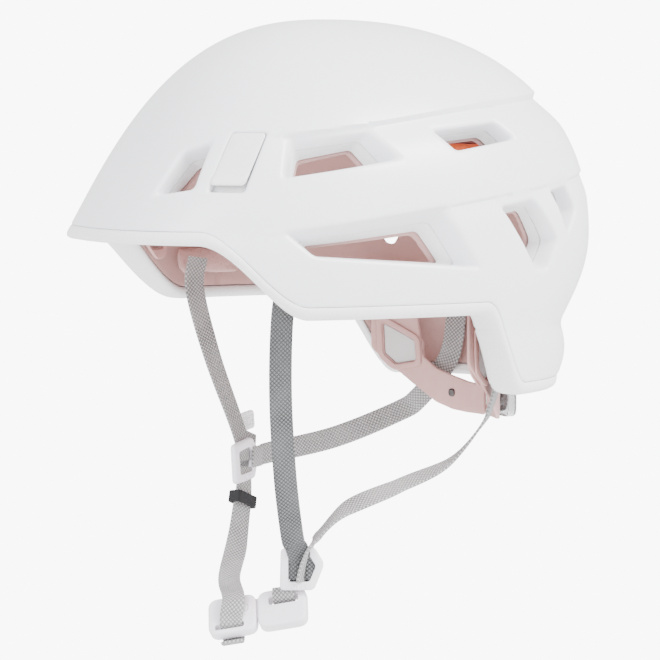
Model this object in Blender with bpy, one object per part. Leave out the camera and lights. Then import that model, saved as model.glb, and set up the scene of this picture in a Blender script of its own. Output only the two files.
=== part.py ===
"""Climbing helmet: moulded shell, foam core, liner, cradle with dial adjuster, and chin straps.

Metres, +Z up. The front of the helmet looks along -Y and the wearer's left side is +X.
The origin is on the mid-plane, level with the rim beside the ears.
The left side is the side that carries the buckle.
"""
import math

import bmesh
import bpy
import numpy as np
from mathutils import Matrix, Vector

MM = 0.001

# --- driving dimensions, in millimetres ------------------------------------------------------
CROWN_HEIGHT = 152.0          # crown above the rim beside the ears
WIDEST_HEIGHT = 38.0          # height of the widest slice, which is also the brim's height
HALF_WIDTH = 106.0            # half of the greatest width
FRONT_REACH = 141.0           # brim tip in front of the origin
BACK_REACH = 143.3            # back of the shell behind the origin
RIM_FRONT = 37.5              # rim height at the brim
RIM_TAIL = -44.5              # rim height at the nape
SHELL_THICKNESS = 1.6
FOAM_THICKNESS = 14.5
LINER_THICKNESS = 2.0
PAD_THICKNESS = 6.0
GAP = 0.3                     # clearance between neighbouring solids
LAYER_GAP = 0.9               # clearance between the nested domes and what lies on them
BEAD_HEIGHT = 7.0             # height of the moulded rim bead
WEB_WIDTH = 12.0              # strap webbing
WEB_THICKNESS = 1.4

FOAM_TOP = SHELL_THICKNESS + LAYER_GAP
FOAM_BOTTOM = FOAM_TOP + FOAM_THICKNESS
LINER_TOP = FOAM_BOTTOM + LAYER_GAP
LINER_BOTTOM = LINER_TOP + LINER_THICKNESS
PAD_TOP = LINER_BOTTOM + LAYER_GAP
ANCHOR_TOP = PAD_TOP + 2.1

# The cradle: two arms on an ellipse that meet at the nape.
ARM_SEMI_X = 70.0
ARM_SEMI_Y = 96.0
ARM_THICKNESS = 1.8
PIVOT = Vector((52.0, 65.0, 2.0))
DIAL_HEIGHT = -55.0
PINION_RADIUS = 3.5
PINION_TEETH = 8

# The chin buckle: its long axis runs from the plug towards the socket.
BUCKLE_AXIS = Vector((-0.55, -0.82, -0.19)).normalized()
PLUG_CENTRE = Vector((25.0, -38.0, -157.0))
HALF_SPACING = 27.0
BUCKLE_LENGTH = 26.0
BUCKLE_WIDTH = 22.0
BUCKLE_THICKNESS = 7.0
DIVIDER_LEFT = Vector((31.0, -30.5, -135.5))
DIVIDER_RIGHT = Vector((-50.0, -27.5, -88.0))


# --- scene and helpers -----------------------------------------------------------------------
for old in list(bpy.data.objects):
    bpy.data.objects.remove(old, do_unlink=True)

PARTS = bpy.data.collections.new("climbing_helmet")
CUTTERS = bpy.data.collections.new("climbing_helmet_cutters")
bpy.context.scene.collection.children.link(PARTS)
bpy.context.scene.collection.children.link(CUTTERS)

MATERIALS = {}


def material(name, colour, roughness, alpha=1.0):
    """Make one Principled material and remember it by name."""
    mat = bpy.data.materials.new(name)
    mat.use_nodes = True
    shader = mat.node_tree.nodes["Principled BSDF"]
    shader.inputs["Base Color"].default_value = (*colour, 1.0)
    shader.inputs["Roughness"].default_value = roughness
    shader.inputs["Metallic"].default_value = 0.0
    shader.inputs["Alpha"].default_value = alpha
    MATERIALS[name] = mat


material("shell_white", (0.86, 0.87, 0.88), 0.35)
material("foam_white", (0.88, 0.88, 0.88), 0.7)
material("rose_plastic", (0.62, 0.36, 0.33), 0.5)
material("rose_fabric", (0.66, 0.42, 0.39), 0.85)
material("orange_fabric", (0.85, 0.22, 0.08), 0.85)
material("clear_plastic", (0.85, 0.87, 0.88), 0.15, 0.45)
material("milky_plastic", (0.84, 0.86, 0.88), 0.25)
material("lilac_plastic", (0.86, 0.82, 0.87), 0.4)
material("web_grey", (0.42, 0.43, 0.44), 0.9)
material("dark_rubber", (0.05, 0.05, 0.055), 0.7)
material("dark_metal", (0.12, 0.11, 0.11), 0.4)


def add_object(name, bm, mat, origin=None, cutter=False):
    """Turn a bmesh in millimetres into an object whose origin is at origin."""
    origin = origin or Vector((0.0, 0.0, 0.0))
    bmesh.ops.translate(bm, verts=bm.verts, vec=-origin)
    bmesh.ops.scale(bm, verts=bm.verts, vec=(MM, MM, MM))
    bmesh.ops.recalc_face_normals(bm, faces=bm.faces)
    mesh = bpy.data.meshes.new(name)
    bm.to_mesh(mesh)
    bm.free()
    obj = bpy.data.objects.new(name, mesh)
    obj.location = origin * MM
    if cutter:
        CUTTERS.objects.link(obj)
        obj.hide_render = True
        obj.display_type = "WIRE"
    else:
        PARTS.objects.link(obj)
        mesh.materials.append(MATERIALS[mat])
    return obj


def cut(obj, cutter, operation="DIFFERENCE"):
    """Add an exact Boolean to an object."""
    mod = obj.modifiers.new(cutter.name, "BOOLEAN")
    mod.operation = operation
    mod.object = cutter
    mod.solver = "EXACT"


def loft(sections, ring=False):
    """A bmesh through equal rings of points; ring joins the last section to the first."""
    bm = bmesh.new()
    rows = [[bm.verts.new(Vector(p)) for p in section] for section in sections]
    count = len(rows[0])
    pairs = list(zip(rows, rows[1:]))
    if ring:
        pairs.append((rows[-1], rows[0]))
    for near, far in pairs:
        for i in range(count):
            j = (i + 1) % count
            bm.faces.new((near[i], near[j], far[j]))
            bm.faces.new((near[i], far[j], far[i]))
    if not ring:
        bm.faces.new(rows[0])
        bm.faces.new(list(reversed(rows[-1])))
    return bm


def prism(outline, thickness, frame=None):
    """A flat outline in local XY, extruded by thickness about its middle, then placed by frame."""
    low = [(x, y, -thickness / 2) for x, y in outline]
    high = [(x, y, thickness / 2) for x, y in outline]
    bm = loft([low, high])
    if frame is not None:
        bmesh.ops.transform(bm, matrix=frame, verts=bm.verts)
    return bm


def frame_at(centre, x_axis, normal):
    """A matrix with local X along x_axis, local Z as near to normal as that allows."""
    x = Vector(x_axis).normalized()
    y = Vector(normal).cross(x).normalized()
    z = x.cross(y)
    turn = Matrix((x, y, z)).transposed().to_4x4()
    return Matrix.Translation(centre) @ turn


def rounded(width, height, radius, steps=4):
    """A rounded rectangle's outline."""
    points = []
    for sx, sy, start in ((1, 1, 0), (-1, 1, 90), (-1, -1, 180), (1, -1, 270)):
        for k in range(steps + 1):
            angle = math.radians(start + 90 * k / steps)
            x = sx * (width / 2 - radius) + radius * math.cos(angle)
            y = sy * (height / 2 - radius) + radius * math.sin(angle)
            points.append((x, y))
    return points


def cylinder(radius, start, end, segments=24, end_radius=None):
    """A bmesh cylinder or cone between two points."""
    axis = Vector(end) - Vector(start)
    bm = bmesh.new()
    turn = axis.to_track_quat("Z", "Y").to_matrix().to_4x4()
    bmesh.ops.create_cone(
        bm, cap_ends=True, segments=segments, radius1=radius,
        radius2=radius if end_radius is None else end_radius, depth=axis.length,
        matrix=Matrix.Translation((Vector(start) + Vector(end)) / 2) @ turn)
    return bm


# --- the head form ---------------------------------------------------------------------------
def smooth(value):
    """Zero to one with flat ends."""
    t = min(1.0, max(0.0, value))
    return t * t * (3 - 2 * t)


def rise(z):
    """0 at the widest slice and 1 at the crown."""
    return min(1.0, max(0.0, (z - WIDEST_HEIGHT) / (CROWN_HEIGHT - WIDEST_HEIGHT)))


def half_width(z):
    """Half-width of the slice at height z."""
    if z > WIDEST_HEIGHT:
        return HALF_WIDTH * (1 - rise(z) ** 2.2) ** 0.47
    tuck = min(1.0, (WIDEST_HEIGHT - z) / WIDEST_HEIGHT)
    return HALF_WIDTH - 6 * tuck ** 2 - 0.2 * max(0.0, -z)


def front_reach(z):
    """How far the slice at height z reaches forward."""
    if z > WIDEST_HEIGHT:
        return FRONT_REACH * (1 - rise(z) ** 0.87) ** 0.375
    return FRONT_REACH - 0.12 * (WIDEST_HEIGHT - z)


def back_reach(z):
    """How far the slice at height z reaches back; it has a waist above the tail."""
    if z > WIDEST_HEIGHT:
        return BACK_REACH * (1 - rise(z) ** 2.2) ** 0.45
    drop = min(1.0, max(0.0, (z + 9) / 47))
    tail = min(1.0, max(0.0, (-9 - z) / 30))
    return 126.5 + 16.8 * math.sin(math.pi / 2 * drop) + 4 * math.sin(math.pi * tail)


def slice_radius(azimuth, z):
    """Distance from the axis to the shell: a superellipse, squarer at the front."""
    c = abs(math.cos(azimuth))
    s = abs(math.sin(azimuth))
    front = math.sin(azimuth) < 0
    reach = front_reach(z) if front else back_reach(z)
    power = 2.4 if front else 2.25
    return ((c / half_width(z)) ** power + (s / reach) ** power) ** (-1 / power)


def rim_height(azimuth):
    """The lower edge: high at the brim, level beside the ears, low at the nape."""
    y = math.sin(azimuth) * slice_radius(azimuth, 0.0)
    brim = smooth((-54 - y) / 50)
    tail = smooth((y - 43) / 41)
    return RIM_FRONT * brim + RIM_TAIL * tail


def on_shell(azimuth, share, lift=0.0):
    """Point on the outer surface: share runs from 0 at the crown to 1 at the rim."""
    low = rim_height(azimuth) + lift
    z = low + (CROWN_HEIGHT - low) * math.cos(math.pi / 2 * share)
    r = slice_radius(azimuth, min(z, CROWN_HEIGHT - 0.001))
    return Vector((r * math.cos(azimuth), r * math.sin(azimuth), z))


def inside(azimuth, share, depth, lift=0.0):
    """Point at a depth under the surface; near the rim the depth is taken level."""
    share = max(share, 0.004)
    step = 0.004
    point = on_shell(azimuth, share, lift)
    across = on_shell(azimuth + step, share, lift) - on_shell(azimuth - step, share, lift)
    down = on_shell(azimuth, min(1, share + step), lift) - on_shell(azimuth, share - step, lift)
    normal = down.cross(across).normalized()
    if normal.dot(point) < 0:
        normal = -normal
    level = Vector((normal.x, normal.y, 0.0))
    if level.length > 0.2:
        normal = normal.lerp(level.normalized(), smooth((share - 0.65) / 0.35)).normalized()
    return point - normal * depth


def share_at(azimuth, z, lift=0.0):
    """The share whose outer point is at height z."""
    low = rim_height(azimuth) + lift
    return math.acos(min(1.0, max(0.0, (z - low) / (CROWN_HEIGHT - low)))) / (math.pi / 2)


def dome_layer(name, top, bottom, mat, lift, columns=44, rows=10):
    """A closed dome between two depths: a UV sphere whose lower half becomes the inside."""
    bm = bmesh.new()
    bmesh.ops.create_uvsphere(bm, u_segments=columns, v_segments=2 * rows + 1, radius=1.0)
    place = {}
    for vert in bm.verts:
        polar = math.acos(max(-1.0, min(1.0, vert.co.z)))
        ring = round(polar / math.pi * (2 * rows + 1))
        azimuth = math.atan2(vert.co.y, vert.co.x)
        outer = ring <= rows
        level = ring if outer else 2 * rows + 1 - ring
        vert.co = inside(azimuth, level / rows, top if outer else bottom, lift)
        place[vert] = (level + (0 if outer else 0.5), math.acos(-math.sin(azimuth)))
    for face in list(bm.faces):
        if len(face.verts) == 4:
            first = min(face.verts, key=lambda v: (place[v][0] + place[v][1] / 8))
            last = max(face.verts, key=lambda v: (place[v][0] + place[v][1] / 8))
            bmesh.utils.face_split(face, first, last)
    return add_object(name, bm, mat)


def patch(azimuths, heights, top, bottom, columns, rows):
    """A closed patch that follows the head form, between two depths and two heights."""
    sections = []
    for i in range(columns + 1):
        azimuth = math.radians(azimuths[0] + (azimuths[1] - azimuths[0]) * i / columns)
        shares = []
        for j in range(rows + 1):
            z = heights[0] + (heights[1] - heights[0]) * j / rows
            shares.append(share_at(azimuth, z, BEAD_HEIGHT))
        outer = [inside(azimuth, s, top, BEAD_HEIGHT) for s in shares]
        inner = [inside(azimuth, s, bottom, BEAD_HEIGHT) for s in reversed(shares)]
        sections.append(outer + inner)
    return loft(sections)


# --- shell, foam core, liner and rim bead ----------------------------------------------------
outer_shell = dome_layer("outer_shell", 0.0, SHELL_THICKNESS, "shell_white", BEAD_HEIGHT)
foam_core = dome_layer("foam_core", FOAM_TOP, FOAM_BOTTOM, "foam_white", BEAD_HEIGHT)
inner_liner = dome_layer("inner_liner", LINER_TOP, LINER_BOTTOM, "rose_fabric", BEAD_HEIGHT)


def build_rim_bead():
    """The moulded bead that closes the rim, a ring with a rounded under-side."""
    top = BEAD_HEIGHT - 2 * LAYER_GAP
    profile = ((0.0, top), (0.3, 3.0), (4.0, 0.0), (LINER_BOTTOM - 6.0, 0.0),
               (LINER_BOTTOM, 3.0), (LINER_BOTTOM, top))
    sections = []
    count = 44
    for i in range(count):
        azimuth = 2 * math.pi * i / count
        section = []
        for depth, height in profile:
            section.append(inside(azimuth, 1.0, depth, height))
        sections.append(section)
    add_object("rim_bead", loft(sections, ring=True), "foam_white")


build_rim_bead()

# Vents on the left side as (azimuth in degrees, height) corners on the outer surface.
VENTS = {
    "front_upper": ((-69, 62), (-65.5, 86), (-59.5, 89), (-61, 66)),
    "mid_upper": ((-35.5, 91), (-12, 95.5), (-4, 81), (-35, 72.5)),
    "rear_upper": ((8.5, 95), (33, 100), (37, 90), (14.5, 84)),
    "side": ((-35, 45), (6, 56), (16, 26), (-29, 35)),
    "rear_slot": ((26.5, 57), (38, 60), (46, 37), (42, 21), (38.5, 22)),
    "back_slot": ((45.5, 63), (53.5, 65.5), (55.5, 52), (51, 41)),
}
VENT_DRAFT = 0.74             # size of a vent's inner end beside its outer end


def vent_cutter(name, corners, side):
    """A drafted prism from outside the shell to inside the liner."""
    rings = []
    middle = np.mean(np.array(corners), axis=0)
    for depth, scale in ((-7.0, 1.07), (LINER_BOTTOM + 5.0, VENT_DRAFT)):
        section = []
        for corner in corners:
            azimuth, z = middle + (np.array(corner) - middle) * scale
            azimuth = math.radians(azimuth)
            point = inside(azimuth, share_at(azimuth, z, BEAD_HEIGHT), depth, BEAD_HEIGHT)
            section.append(Vector((side * point.x, point.y, point.z)))
        rings.append(section)
    return add_object(name, loft(rings), None, cutter=True)


for side, word in ((1, "left"), (-1, "right")):
    for vent, corners in VENTS.items():
        cutter = vent_cutter(f"cut_{vent}_{word}", corners, side)
        for layer in (outer_shell, foam_core, inner_liner):
            cut(layer, cutter)

# --- headlamp clips --------------------------------------------------------------------------
# Corners of the left clip's tab: the first two are on its hinged top edge.
CLIP = ((-51.5, 93.5), (-42.0, 93.5), (-45.5, 67.5), (-54.0, 67.5))
REAR_CLIP = ((84.5, 88.0), (95.5, 88.0), (94.0, 66.0), (86.0, 66.0))


def tab(corners, side, top, bottom, grow=0.0):
    """A four-cornered plate that follows the surface between two depths."""
    middle = np.mean(np.array(corners), axis=0)
    sections = []
    for depth in (top, bottom):
        section = []
        for corner in corners:
            offset = np.array(corner) - middle
            azimuth, z = middle + offset * (1 + grow / 12)
            azimuth = math.radians(azimuth)
            point = inside(azimuth, share_at(azimuth, z, BEAD_HEIGHT), depth, BEAD_HEIGHT)
            section.append(Vector((side * point.x, point.y, point.z)))
        sections.append(section)
    return loft(sections)


def build_clip(name, corners, side):
    """A sprung tab over its own recess; the origin is on the hinged top edge."""
    recess = add_object(f"cut_{name}", tab(corners, side, -4.0, 6.5, 1.2), None, cutter=True)
    for layer in (outer_shell, foam_core):
        cut(layer, recess)
    ends = []
    for azimuth, z in corners[:2]:
        azimuth = math.radians(azimuth)
        point = inside(azimuth, share_at(azimuth, z, BEAD_HEIGHT), 1.0, BEAD_HEIGHT)
        ends.append(Vector((side * point.x, point.y, point.z)))
    middle = (ends[0] + ends[1]) / 2
    add_object(name, tab(corners, side, 0.1, 2.2), "milky_plastic", middle)


build_clip("headlamp_clip_left", CLIP, 1)
build_clip("headlamp_clip_right", CLIP, -1)
build_clip("rear_headlamp_clip", REAR_CLIP, 1)

# --- pads ------------------------------------------------------------------------------------
PAD_BOTTOM = PAD_TOP + PAD_THICKNESS


def build_pads():
    """Comfort pads on the liner."""
    brow = patch((-125, -55), (50, 68), PAD_TOP, PAD_BOTTOM, 10, 2)
    add_object("brow_pad", brow, "orange_fabric")
    sections = []
    for k in range(9):
        y = -58 + 116 * k / 8
        half = 13 + 7 * math.sin(math.pi * k / 8)
        row_outer = []
        row_inner = []
        for x in (-half, 0.0, half):
            azimuth = math.atan2(y, x + 0.001)
            share = 0.0
            for _ in range(40):
                point = inside(azimuth, share, PAD_TOP, BEAD_HEIGHT)
                if math.hypot(point.x, point.y) >= math.hypot(x, y):
                    break
                share += 0.01
            row_outer.append(point)
            row_inner.append(inside(azimuth, share, PAD_BOTTOM, BEAD_HEIGHT))
        sections.append(row_outer + list(reversed(row_inner)))
    add_object("crown_pad", loft(sections), "orange_fabric")
    for side, word in ((1, "left"), (-1, "right")):
        ends = (-34, -8) if side > 0 else (188, 214)
        add_object(f"temple_pad_{word}", patch(ends, (12, 30), PAD_TOP + GAP, PAD_BOTTOM, 5, 2),
                   "rose_fabric")
        ends = (60, 80) if side > 0 else (100, 120)
        add_object(f"rear_pad_{word}", patch(ends, (82, 100), PAD_TOP + GAP, PAD_BOTTOM, 5, 2),
                   "orange_fabric")


build_pads()


# --- strap anchors ---------------------------------------------------------------------------
def build_anchor(name, azimuth, height):
    """A moulded anchor plate on the liner with a webbing slot."""
    plate = patch((azimuth - 5.5, azimuth + 5.5), (height - 6, height + 6), ANCHOR_TOP,
                  ANCHOR_TOP + 2.5, 4, 2)
    add_object(name, plate, "dark_rubber")


FRONT_ANCHOR = (-42.0, 30.0)
REAR_ANCHOR = (62.0, 14.0)
for side, word in ((1, "left"), (-1, "right")):
    for place, (azimuth, height) in (("front", FRONT_ANCHOR), ("rear", REAR_ANCHOR)):
        turned = azimuth if side > 0 else 180 - azimuth
        build_anchor(f"{place}_anchor_{word}", turned, height)


# --- cradle arms -----------------------------------------------------------------------------
ARM_SECTIONS = (
    (34.0, 9.0, -29.0), (38.0, 10.0, -35.0), (44.0, 10.0, -42.0), (50.0, 9.0, -49.0),
    (54.0, -33.0, -53.0), (60.0, -40.0, -59.0), (68.0, -43.5, -62.5), (76.0, -46.0, -63.5),
    (88.5, -47.5, -63.5),
)
WINDOW = ((38.5, -15.0), (51.0, -25.0), (51.5, -36.0), (43.5, -38.0), (39.0, -32.0))
FRAME_GROW = 1.28             # outline of the window's raised frame beside the window


def arm_point(angle, z, scale, side):
    """Point on the cradle's ellipse, scaled about the Z axis."""
    angle = math.radians(angle)
    x = side * ARM_SEMI_X * scale * math.cos(angle)
    return Vector((x, ARM_SEMI_Y * scale * math.sin(angle), z))


def arm_prism(outline, inner, outer, side, grow=1.0):
    """An outline in angle and height, between two scales of the cradle's ellipse."""
    middle = np.mean(np.array(outline), axis=0)
    rings = []
    for scale in (inner, outer):
        ring = []
        for corner in outline:
            angle, z = middle + (np.array(corner) - middle) * grow
            ring.append(arm_point(angle, z, scale, side))
        rings.append(ring)
    return loft(rings)


ARM_HALF = ARM_THICKNESS / 2 / 85
CRADLE_ORIGIN = Vector((0.0, PIVOT.y, PIVOT.z))


def build_arm(side, word):
    """One side of the cradle: plate, window frame and nape bar, with its clear window."""
    sections = []
    for angle, high, low in ARM_SECTIONS:
        sections.append([
            arm_point(angle, high, 1 - ARM_HALF, side), arm_point(angle, low, 1 - ARM_HALF, side),
            arm_point(angle, low, 1 + ARM_HALF, side), arm_point(angle, high, 1 + ARM_HALF, side)])
    arm = add_object(f"cradle_arm_{word}", loft(sections), "rose_plastic", CRADLE_ORIGIN)
    hole = add_object(f"cut_window_{word}", arm_prism(WINDOW, 0.9, 1.1, side), None, cutter=True)
    cut(arm, hole)
    bore = cylinder(2.4, (side * (PIVOT.x - 20), PIVOT.y, PIVOT.z),
                    (side * (PIVOT.x + 20), PIVOT.y, PIVOT.z))
    cut(arm, add_object(f"cut_pivot_{word}", bore, None, cutter=True))
    frame = add_object(
        f"window_frame_{word}",
        arm_prism(WINDOW, 1 - 2.6 * ARM_HALF, 1 - ARM_HALF - GAP / 85, side, FRAME_GROW),
        "rose_plastic", CRADLE_ORIGIN)
    cut(frame, hole)
    pane = arm_prism(WINDOW, 1 - ARM_HALF * 0.6, 1 + ARM_HALF * 0.6, side, 0.965)
    add_object(f"window_pane_{word}", pane, "clear_plastic", CRADLE_ORIGIN)


def build_pivot(side, word):
    """The boss on the liner and the pin that the arm turns on."""
    azimuth = 30.0
    wall = PIVOT
    while wall.y < PIVOT.y or wall is PIVOT:
        azimuth += 0.25
        share = share_at(math.radians(azimuth), PIVOT.z, BEAD_HEIGHT)
        wall = inside(math.radians(azimuth), share, ANCHOR_TOP + 1.2, BEAD_HEIGHT)
    centre = azimuth if side > 0 else 180 - azimuth
    boss = add_object(f"pivot_boss_{word}",
                      patch((centre - 6, centre + 6), (PIVOT.z - 7, PIVOT.z + 9), ANCHOR_TOP,
                            ANCHOR_TOP + 2.5, 4, 2), "rose_plastic")
    post = cylinder(5.0, (side * 56.3, PIVOT.y, PIVOT.z), (side * wall.x, PIVOT.y, PIVOT.z))
    boss_post = add_object(f"cut_post_{word}", post, None, cutter=True)
    cut(boss, boss_post, "UNION")
    pin = cylinder(2.0, (side * 45.5, PIVOT.y, PIVOT.z), (side * 56.0, PIVOT.y, PIVOT.z))
    pin_obj = add_object(f"pivot_pin_{word}", pin, "dark_metal", CRADLE_ORIGIN)
    head = cylinder(4.0, (side * 44.0, PIVOT.y, PIVOT.z), (side * 46.0, PIVOT.y, PIVOT.z))
    cut(pin_obj, add_object(f"cut_pin_head_{word}", head, None, cutter=True), "UNION")


for side, word in ((1, "left"), (-1, "right")):
    build_arm(side, word)
    build_pivot(side, word)

# --- nape adjuster ---------------------------------------------------------------------------
HOUSING_FRONT = 97.4          # the housing's open front, behind the arms
HOUSING_BACK = 102.6
HOUSING_WALL = 1.2
RACK_MIDDLE = 99.4
RACK_DEPTH = 2.0
TOOTH_PITCH = 2 * math.pi * PINION_RADIUS / PINION_TEETH


def facing_back(centre):
    """A frame whose local X is world X, local Y is world Z and local Z points at -Y."""
    return frame_at(centre, (1, 0, 0), (0, -1, 0))


def build_housing():
    """A clear case, open towards the arms, with a bore for the dial's shaft."""
    middle = (HOUSING_FRONT + HOUSING_BACK) / 2
    box = prism(rounded(46, 15, 5), HOUSING_BACK - HOUSING_FRONT,
                facing_back((0, middle, DIAL_HEIGHT)))
    housing = add_object("adjuster_housing", box, "clear_plastic", CRADLE_ORIGIN)
    room = prism(rounded(43.6, 12.6, 3.8), HOUSING_BACK - HOUSING_FRONT,
                 facing_back((0, middle - HOUSING_WALL, DIAL_HEIGHT)))
    cut(housing, add_object("cut_housing_room", room, None, cutter=True))
    bore = cylinder(2.3, (0, middle - 5, DIAL_HEIGHT), (0, middle + 5, DIAL_HEIGHT))
    cut(housing, add_object("cut_housing_bore", bore, None, cutter=True))


def build_dial():
    """The knurled dial on its shaft, and the pinion inside the case."""
    origin = Vector((0.0, HOUSING_BACK, DIAL_HEIGHT))
    outline = []
    for k in range(48):
        radius = 7.2 if k % 4 < 2 else 7.8
        angle = 2 * math.pi * k / 48
        outline.append((radius * math.cos(angle), radius * math.sin(angle)))
    face = HOUSING_BACK + GAP
    disc = prism(outline, 3.6, facing_back((0, face + 1.8, DIAL_HEIGHT)))
    dial = add_object("adjuster_dial", disc, "dark_rubber", origin)
    shaft = cylinder(2.2, (0, RACK_MIDDLE + RACK_DEPTH / 2 + GAP, DIAL_HEIGHT),
                     (0, face + 1.5, DIAL_HEIGHT))
    cut(dial, add_object("cut_dial_shaft", shaft, None, cutter=True), "UNION")
    teeth = []
    for k in range(PINION_TEETH):
        base = 2 * math.pi * k / PINION_TEETH + math.pi / 2
        for share, radius in ((-0.36, -0.9), (-0.16, 0.6), (0.16, 0.6), (0.36, -0.9)):
            angle = base + share * 2 * math.pi / PINION_TEETH
            size = PINION_RADIUS + radius
            teeth.append((size * math.cos(angle), size * math.sin(angle)))
    wheel = prism(teeth, RACK_DEPTH, facing_back((0, RACK_MIDDLE, DIAL_HEIGHT)))
    add_object("adjuster_pinion", wheel, "milky_plastic", origin)


def build_rack(side, word):
    """A toothed strip: the left one runs above the pinion and the right one below."""
    pitch_line = PINION_RADIUS + 0.15
    outline = []
    first = -2.5 * TOOTH_PITCH
    for k in range(5):
        centre = first + (k + 0.5) * TOOTH_PITCH + TOOTH_PITCH / 2
        root = pitch_line + 0.95
        tip = pitch_line - 0.5
        outline += [(centre - 0.36 * TOOTH_PITCH, root), (centre - 0.14 * TOOTH_PITCH, tip),
                    (centre + 0.14 * TOOTH_PITCH, tip), (centre + 0.36 * TOOTH_PITCH, root)]
    outline += [(15.0, pitch_line + 0.95), (15.0, pitch_line + 2.0), (-6.6, pitch_line + 2.0),
                (-6.6, pitch_line + 0.95)]
    placed = [(side * x, side * y) for x, y in outline]
    bm = prism(placed, RACK_DEPTH, facing_back((0, RACK_MIDDLE, DIAL_HEIGHT)))
    add_object(f"rack_{word}", bm, "rose_plastic", CRADLE_ORIGIN)


build_housing()
build_dial()
build_rack(1, "left")
build_rack(-1, "right")


# --- ribbons: height strips and webbing ------------------------------------------------------
def curve_through(points, spacing):
    """Points along a Catmull-Rom curve through the given ones."""
    pts = [Vector(p) for p in points]
    ends = [2 * pts[0] - pts[1]] + pts + [2 * pts[-1] - pts[-2]]
    out = []
    for k in range(1, len(ends) - 2):
        a, b, c, d = ends[k - 1:k + 3]
        steps = max(1, round((c - b).length / spacing))
        for i in range(steps):
            t = i / steps
            out.append(0.5 * (2 * b + (c - a) * t + (2 * a - 5 * b + 4 * c - d) * t * t
                              + (3 * b - a - 3 * c + d) * t ** 3))
    out.append(pts[-1])
    return out


def ribbon(points, across, width, thickness, spacing=9.0):
    """A flat band along a curve; across gives its width direction at the first and last end."""
    path = curve_through(points, spacing)
    sections = []
    for k, point in enumerate(path):
        ahead = path[min(k + 1, len(path) - 1)] - path[max(k - 1, 0)]
        tangent = ahead.normalized()
        wide = Vector(across[0]).lerp(Vector(across[1]), k / (len(path) - 1))
        wide = (wide - tangent * wide.dot(tangent)).normalized() * (width / 2)
        thick = tangent.cross(wide).normalized() * (thickness / 2)
        sections.append([point - wide - thick, point + wide - thick,
                         point + wide + thick, point - wide + thick])
    return loft(sections)


STRIP_ROUTE = ((24.0, 99.0, 9.0), (22.0, 97.5, -12.0), (15.0, 99.5, -26.0), (8.5, 101.0, -38.0),
               (6.0, 100.5, -46.8))
for side, word in ((1, "left"), (-1, "right")):
    route = [Vector((side * p[0], p[1], p[2])) for p in STRIP_ROUTE]
    strip = ribbon(route, ((side * 0.9, 0.1, 0.3), (side, 0, 0)), 5.0, 1.0, 7.0)
    add_object(f"height_strip_{word}", strip, "milky_plastic", CRADLE_ORIGIN)

FRONT_ROUTE_LEFT = ((61.5, -50.0, 24.0), (60.5, -54.0, 0.0), (57.0, -53.5, -40.0),
                    (49.0, -47.5, -83.0), (37.0, -38.0, -117.0), (34.2, -34.6, -122.6))
REAR_ROUTE_LEFT = ((44.0, 87.0, 5.0), (47.0, 81.5, -25.0), (49.7, 76.5, -38.0),
                   (51.7, 71.3, -51.0), (52.5, 64.5, -62.5), (48.0, 48.0, -81.0),
                   (45.0, 20.0, -92.5), (41.5, -9.0, -103.5), (36.5, -23.5, -118.0),
                   (34.5, -26.0, -122.6))
FRONT_ROUTE_RIGHT = ((-61.5, -50.0, 24.0), (-61.0, -52.0, 6.0), (-60.0, -42.5, -30.0),
                     (-55.0, -32.0, -63.0), (-52.5, -29.0, -74.4))
REAR_ROUTE_RIGHT = ((-35.0, 96.5, 5.0), (-35.0, 93.5, -25.0), (-40.0, 90.0, -40.0),
                    (-52.0, 80.5, -58.0), (-60.0, 72.0, -66.0), (-65.0, 34.0, -79.5),
                    (-60.0, -9.0, -85.5), (-55.0, -15.5, -86.0))
STRAPS = {
    "front_strap_left": (FRONT_ROUTE_LEFT, ((0.1, 1, 0), (0.2, 1, 0))),
    "rear_strap_left": (REAR_ROUTE_LEFT, ((0.78, -0.62, 0), (0.3, -0.6, -0.7))),
    "front_strap_right": (FRONT_ROUTE_RIGHT, ((-0.1, 1, 0), (-0.6, 0.7, 0.1))),
    "rear_strap_right": (REAR_ROUTE_RIGHT, ((-0.7, -0.6, 0), (0.1, 0, 1))),
}
for name, (route, across) in STRAPS.items():
    add_object(name, ribbon(route, across, WEB_WIDTH, WEB_THICKNESS), "web_grey")

# --- dividers --------------------------------------------------------------------------------
DIVIDER_OUTLINE = ((-10.5, 11.0), (7.0, 12.0), (12.5, 3.0), (7.0, -11.0), (-11.0, -11.0))
DIVIDER_WINDOW = ((-6.5, 6.5), (4.5, 7.5), (8.0, 2.0), (4.5, -6.5), (-6.5, -6.5))


def build_divider(word, centre, x_axis, normal):
    """A five-sided frame that holds the front and rear straps apart."""
    place = frame_at(centre, x_axis, normal)
    frame = add_object(f"divider_{word}", prism(DIVIDER_OUTLINE, 3.4, place), "lilac_plastic")
    hole = add_object(f"cut_divider_{word}", prism(DIVIDER_WINDOW, 9.0, place), None, cutter=True)
    cut(frame, hole)


build_divider("left", DIVIDER_LEFT, (0.42, 0.9, 0.0), (0.9, -0.42, 0.0))
build_divider("right", DIVIDER_RIGHT, (-0.45, 0.75, 0.1), (0.75, 0.45, 0.0))

# --- chin strap, keeper and buckle -----------------------------------------------------------
SOCKET_CENTRE = PLUG_CENTRE + BUCKLE_AXIS * HALF_SPACING
BUCKLE_NORMAL = Vector((0.55, -0.52, 0.65))
BUCKLE_FRAME = frame_at((0, 0, 0), BUCKLE_AXIS, BUCKLE_NORMAL)
BUCKLE_ACROSS = BUCKLE_FRAME.to_3x3() @ Vector((0.0, 1.0, 0.0))
BUCKLE_UP = BUCKLE_FRAME.to_3x3() @ Vector((0.0, 0.0, 1.0))
SWING_PIVOT = Vector((-47.5, -29.5, -99.5))


def in_buckle(along, across, up, centre):
    """A point given along the buckle's axis, across it and along its normal."""
    return centre + BUCKLE_AXIS * along + BUCKLE_ACROSS * across + BUCKLE_UP * up


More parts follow.
